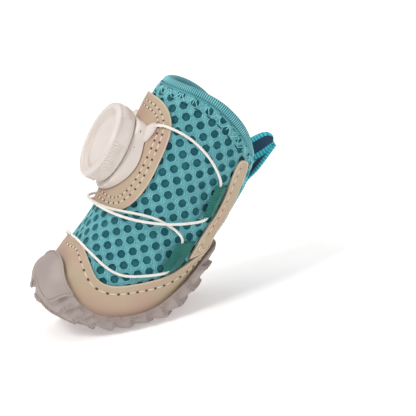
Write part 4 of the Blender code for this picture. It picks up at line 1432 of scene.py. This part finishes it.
# %% Measure the knob
corner_list = np.unique(corner_array("dial_knob").round(7), axis=0)
knob_mean = corner_list.mean(axis=0)
spread = np.linalg.svd(corner_list - knob_mean)[2]
knob_axis = spread[2] * np.sign(spread[2] @ np.array(away_from_paw(Vector(knob_mean))))
heights = (corner_list - knob_mean) @ knob_axis
knob_low, knob_high = heights.min(), heights.max()
across_axis = corner_list - knob_mean - heights[:, None] * knob_axis
knob_radius = np.linalg.norm(across_axis, axis=1).max()
print("knob:", round(2 * knob_radius / MM, 1), "mm across,",
      round((knob_high - knob_low) / MM, 1), "mm deep")

# %% [markdown]
# The profile runs from the middle of the underside, up the side wall, over the rim and into the
# dished face. The grips grow out of the side wall only, where fingers hold it.

# %% Turn the knob
KNOB_STEPS = 600
GRIP_GROUPS = 4
GRIPS = 11
GRIP_PITCH = math.radians(4.2)
GRIP_RISE = 0.5 * MM
GRIP_TURN = math.radians(-14)
DISH_DEPTH = 2.3 * MM
RIM_WIDTH = 2.6 * MM


def grip_height(angle):
    """0 to 1 across the grip ribs of the group that this angle lies in."""
    group = 2 * math.pi / GRIP_GROUPS
    local = (angle - GRIP_TURN + group / 2) % group - group / 2
    if abs(local) > GRIPS * GRIP_PITCH / 2:
        return 0.0
    return 0.5 + 0.5 * math.cos(2 * math.pi * local / GRIP_PITCH)


def make_knob():
    depth = knob_high - knob_low
    rim = knob_radius - RIM_WIDTH
    # Radius, height over the knob's underside, and how much of the grip ribs shows there
    profile = [
        (0.0, 0.0, 0), (knob_radius - 1.6 * MM, 0.0, 0), (knob_radius - 1.2 * MM, 0.1 * MM, 0),
        (knob_radius - 0.5 * MM, 0.7 * MM, 0), (knob_radius - 0.35 * MM, 0.9 * MM, 0),
        (knob_radius - 0.4 * MM, 2.3 * MM, 0), (knob_radius - 0.4 * MM, 2.6 * MM, 1),
        (knob_radius - 0.36 * MM, 4.2 * MM, 1), (knob_radius - 0.3 * MM, 5.9 * MM, 1),
        (knob_radius - 0.2 * MM, 6.1 * MM, 0), (knob_radius - 0.05 * MM, 6.3 * MM, 0),
        (knob_radius - 0.1 * MM, depth - 1.2 * MM, 0),
        (knob_radius - 0.5 * MM, depth - 0.45 * MM, 0),
        (knob_radius - 1.2 * MM, depth - 0.08 * MM, 0),
        (knob_radius - 1.9 * MM, depth, 0), (rim + 0.2 * MM, depth - 0.15 * MM, 0),
        (rim - 0.1 * MM, depth - 0.5 * MM, 0), (rim - 0.3 * MM, depth - DISH_DEPTH + 0.3 * MM, 0),
        (rim - 0.6 * MM, depth - DISH_DEPTH, 0), (rim - 1.6 * MM, depth - DISH_DEPTH, 0),
        (rim - 1.9 * MM, depth - DISH_DEPTH + 0.6 * MM, 0),
        (rim - 5.0 * MM, depth - DISH_DEPTH + 0.8 * MM, 0),
        (0.0, depth - DISH_DEPTH + 0.9 * MM, 0),
    ]
    aside = np.array([1.0, 0.0, 0.0])
    upward = np.cross(knob_axis, aside)
    corners = []
    for radius, height, grip in profile:
        for step in range(KNOB_STEPS):
            angle = 2 * math.pi * step / KNOB_STEPS
            reach = radius + grip * GRIP_RISE * grip_height(angle)
            corners.append(knob_mean + (knob_low + height) * knob_axis
                           + reach * (math.cos(angle) * aside + math.sin(angle) * upward))
    faces = ring_faces(len(profile), KNOB_STEPS)
    knob = add_made("knob", corners, faces, turn_out=True, merge=1e-6)
    return dress(knob, "dial_knob", plastic)


make_knob()
base = divided("dial_base_plastic", welded("dial_base"), 2, 0.85)
dress(base, "dial_base", plastic)

# %% [markdown]
# The base has an ear on each side with a mouth for the lace. Each one is a flattened cone that
# starts at the lace's end and widens into the base, moulded in one with it.

# %% Nozzles where the lace leaves the dial
NOZZLE_REACH = 6.5 * MM
NOZZLE_STEPS = 16
NOZZLE_FLAT = 0.72
NOZZLE_DEEPEST = 1.5
LACE_END_REACH = 1.3 * MM
# Share of the way back into the base, and half width in mm
NOZZLE_SHAPE = [(-0.06, 0.70), (-0.06, 1.15), (-0.02, 1.45), (0.12, 1.75), (0.3, 2.3),
                (0.55, 3.0), (0.8, 3.6), (1.0, 3.8)]


def lace_end(node):
    """Middle of the lace's end at the dial."""
    corners = corner_array(node)
    first = corners[np.argmin(np.linalg.norm(corners - knob_mean, axis=1))]
    return corners[np.linalg.norm(corners - first, axis=1) < LACE_END_REACH].mean(axis=0)


def add_nozzle(name, node):
    mouth = lace_end(node)
    inward = knob_mean - mouth
    inward -= knob_axis * (inward @ knob_axis)
    inward /= np.linalg.norm(inward)
    side = np.cross(inward, knob_axis)
    corners = []
    for share, half_width in NOZZLE_SHAPE:
        half_depth = min(half_width * NOZZLE_FLAT, NOZZLE_DEEPEST)
        for step in range(NOZZLE_STEPS):
            turn = 2 * math.pi * step / NOZZLE_STEPS
            corners.append(mouth + inward * share * NOZZLE_REACH
                           + half_width * MM * math.cos(turn) * side
                           + half_depth * MM * math.sin(turn) * knob_axis)
    faces = ring_faces(len(NOZZLE_SHAPE), NOZZLE_STEPS)
    last = (len(NOZZLE_SHAPE) - 1) * NOZZLE_STEPS
    faces.append(tuple(range(NOZZLE_STEPS)))
    faces.append(tuple(last + step for step in range(NOZZLE_STEPS)))
    piece = add_made(name, corners, faces, turn_out=True, sharp_over=CREASE_OVER)
    dress(piece, None, plastic)


for hand in ("left", "right"):
    add_nozzle("dial_nozzle_" + hand, "lace_" + hand)

# %% [markdown]
# Two small slots show in the side of the base, drawn as dark marks of painted shadow. Each is a
# shallow oval on the spot of the base that the camera sees at the mark's place in the photo.

# %% Painted slot shadows in the side of the base
# Place in the photo in pixels, length and width
SLOT_MARKS = [((140.5, 130.5), 1.9 * MM, 0.75 * MM), ((133.8, 147.2), 1.3 * MM, 0.5 * MM)]
SLOT_PROUD = 0.04 * MM
SLOT_STEPS = 12
# Dark ovals of painted shadow stand for the shade in the slots
slot_shadow = make_cloth("slot_shadow", (0.10, 0.075, 0.07), (0.14, 0.11, 0.10), 1500.0)


def seen_at(piece, pixel):
    """Point and outward direction of a piece where the camera sees it at a photo pixel."""
    target = (picture_right * (pixel[0] - BOOT_PIXEL[0])
              + picture_up * (BOOT_PIXEL[1] - pixel[1])) * PIXEL_SIZE
    eye = camera.matrix_world.translation
    return surface_tree(piece.data).ray_cast(eye, target - eye)[:2]


def add_slots():
    corners = []
    faces = []
    for pixel, length, width in SLOT_MARKS:
        point, out = seen_at(base, pixel)
        if point is None:
            print("no plastic at", pixel)
            continue
        run = Vector(knob_axis).cross(out).normalized()
        up = out.cross(run)
        centre = len(corners)
        corners.append(point + out * SLOT_PROUD)
        for step in range(SLOT_STEPS):
            turn = 2 * math.pi * step / SLOT_STEPS
            corners.append(point + run * (length / 2 * math.cos(turn))
                           + up * (width / 2 * math.sin(turn)) - out * SLOT_PROUD)
            faces.append((centre, centre + 1 + step, centre + 1 + (step + 1) % SLOT_STEPS))
    dress(add_made("base_slot_shadows", corners, faces, smooth=False), None, slot_shadow)


add_slots()

# %% [markdown]
# ## Insole
#
# A thin sheet of foam lies in the cup. The photo doesn't show one, so its grey is a guess.

# %% Insole
insole = divided("insole_sheet", welded("insole"), 1, 0.9)
dress(insole, "insole", foam)
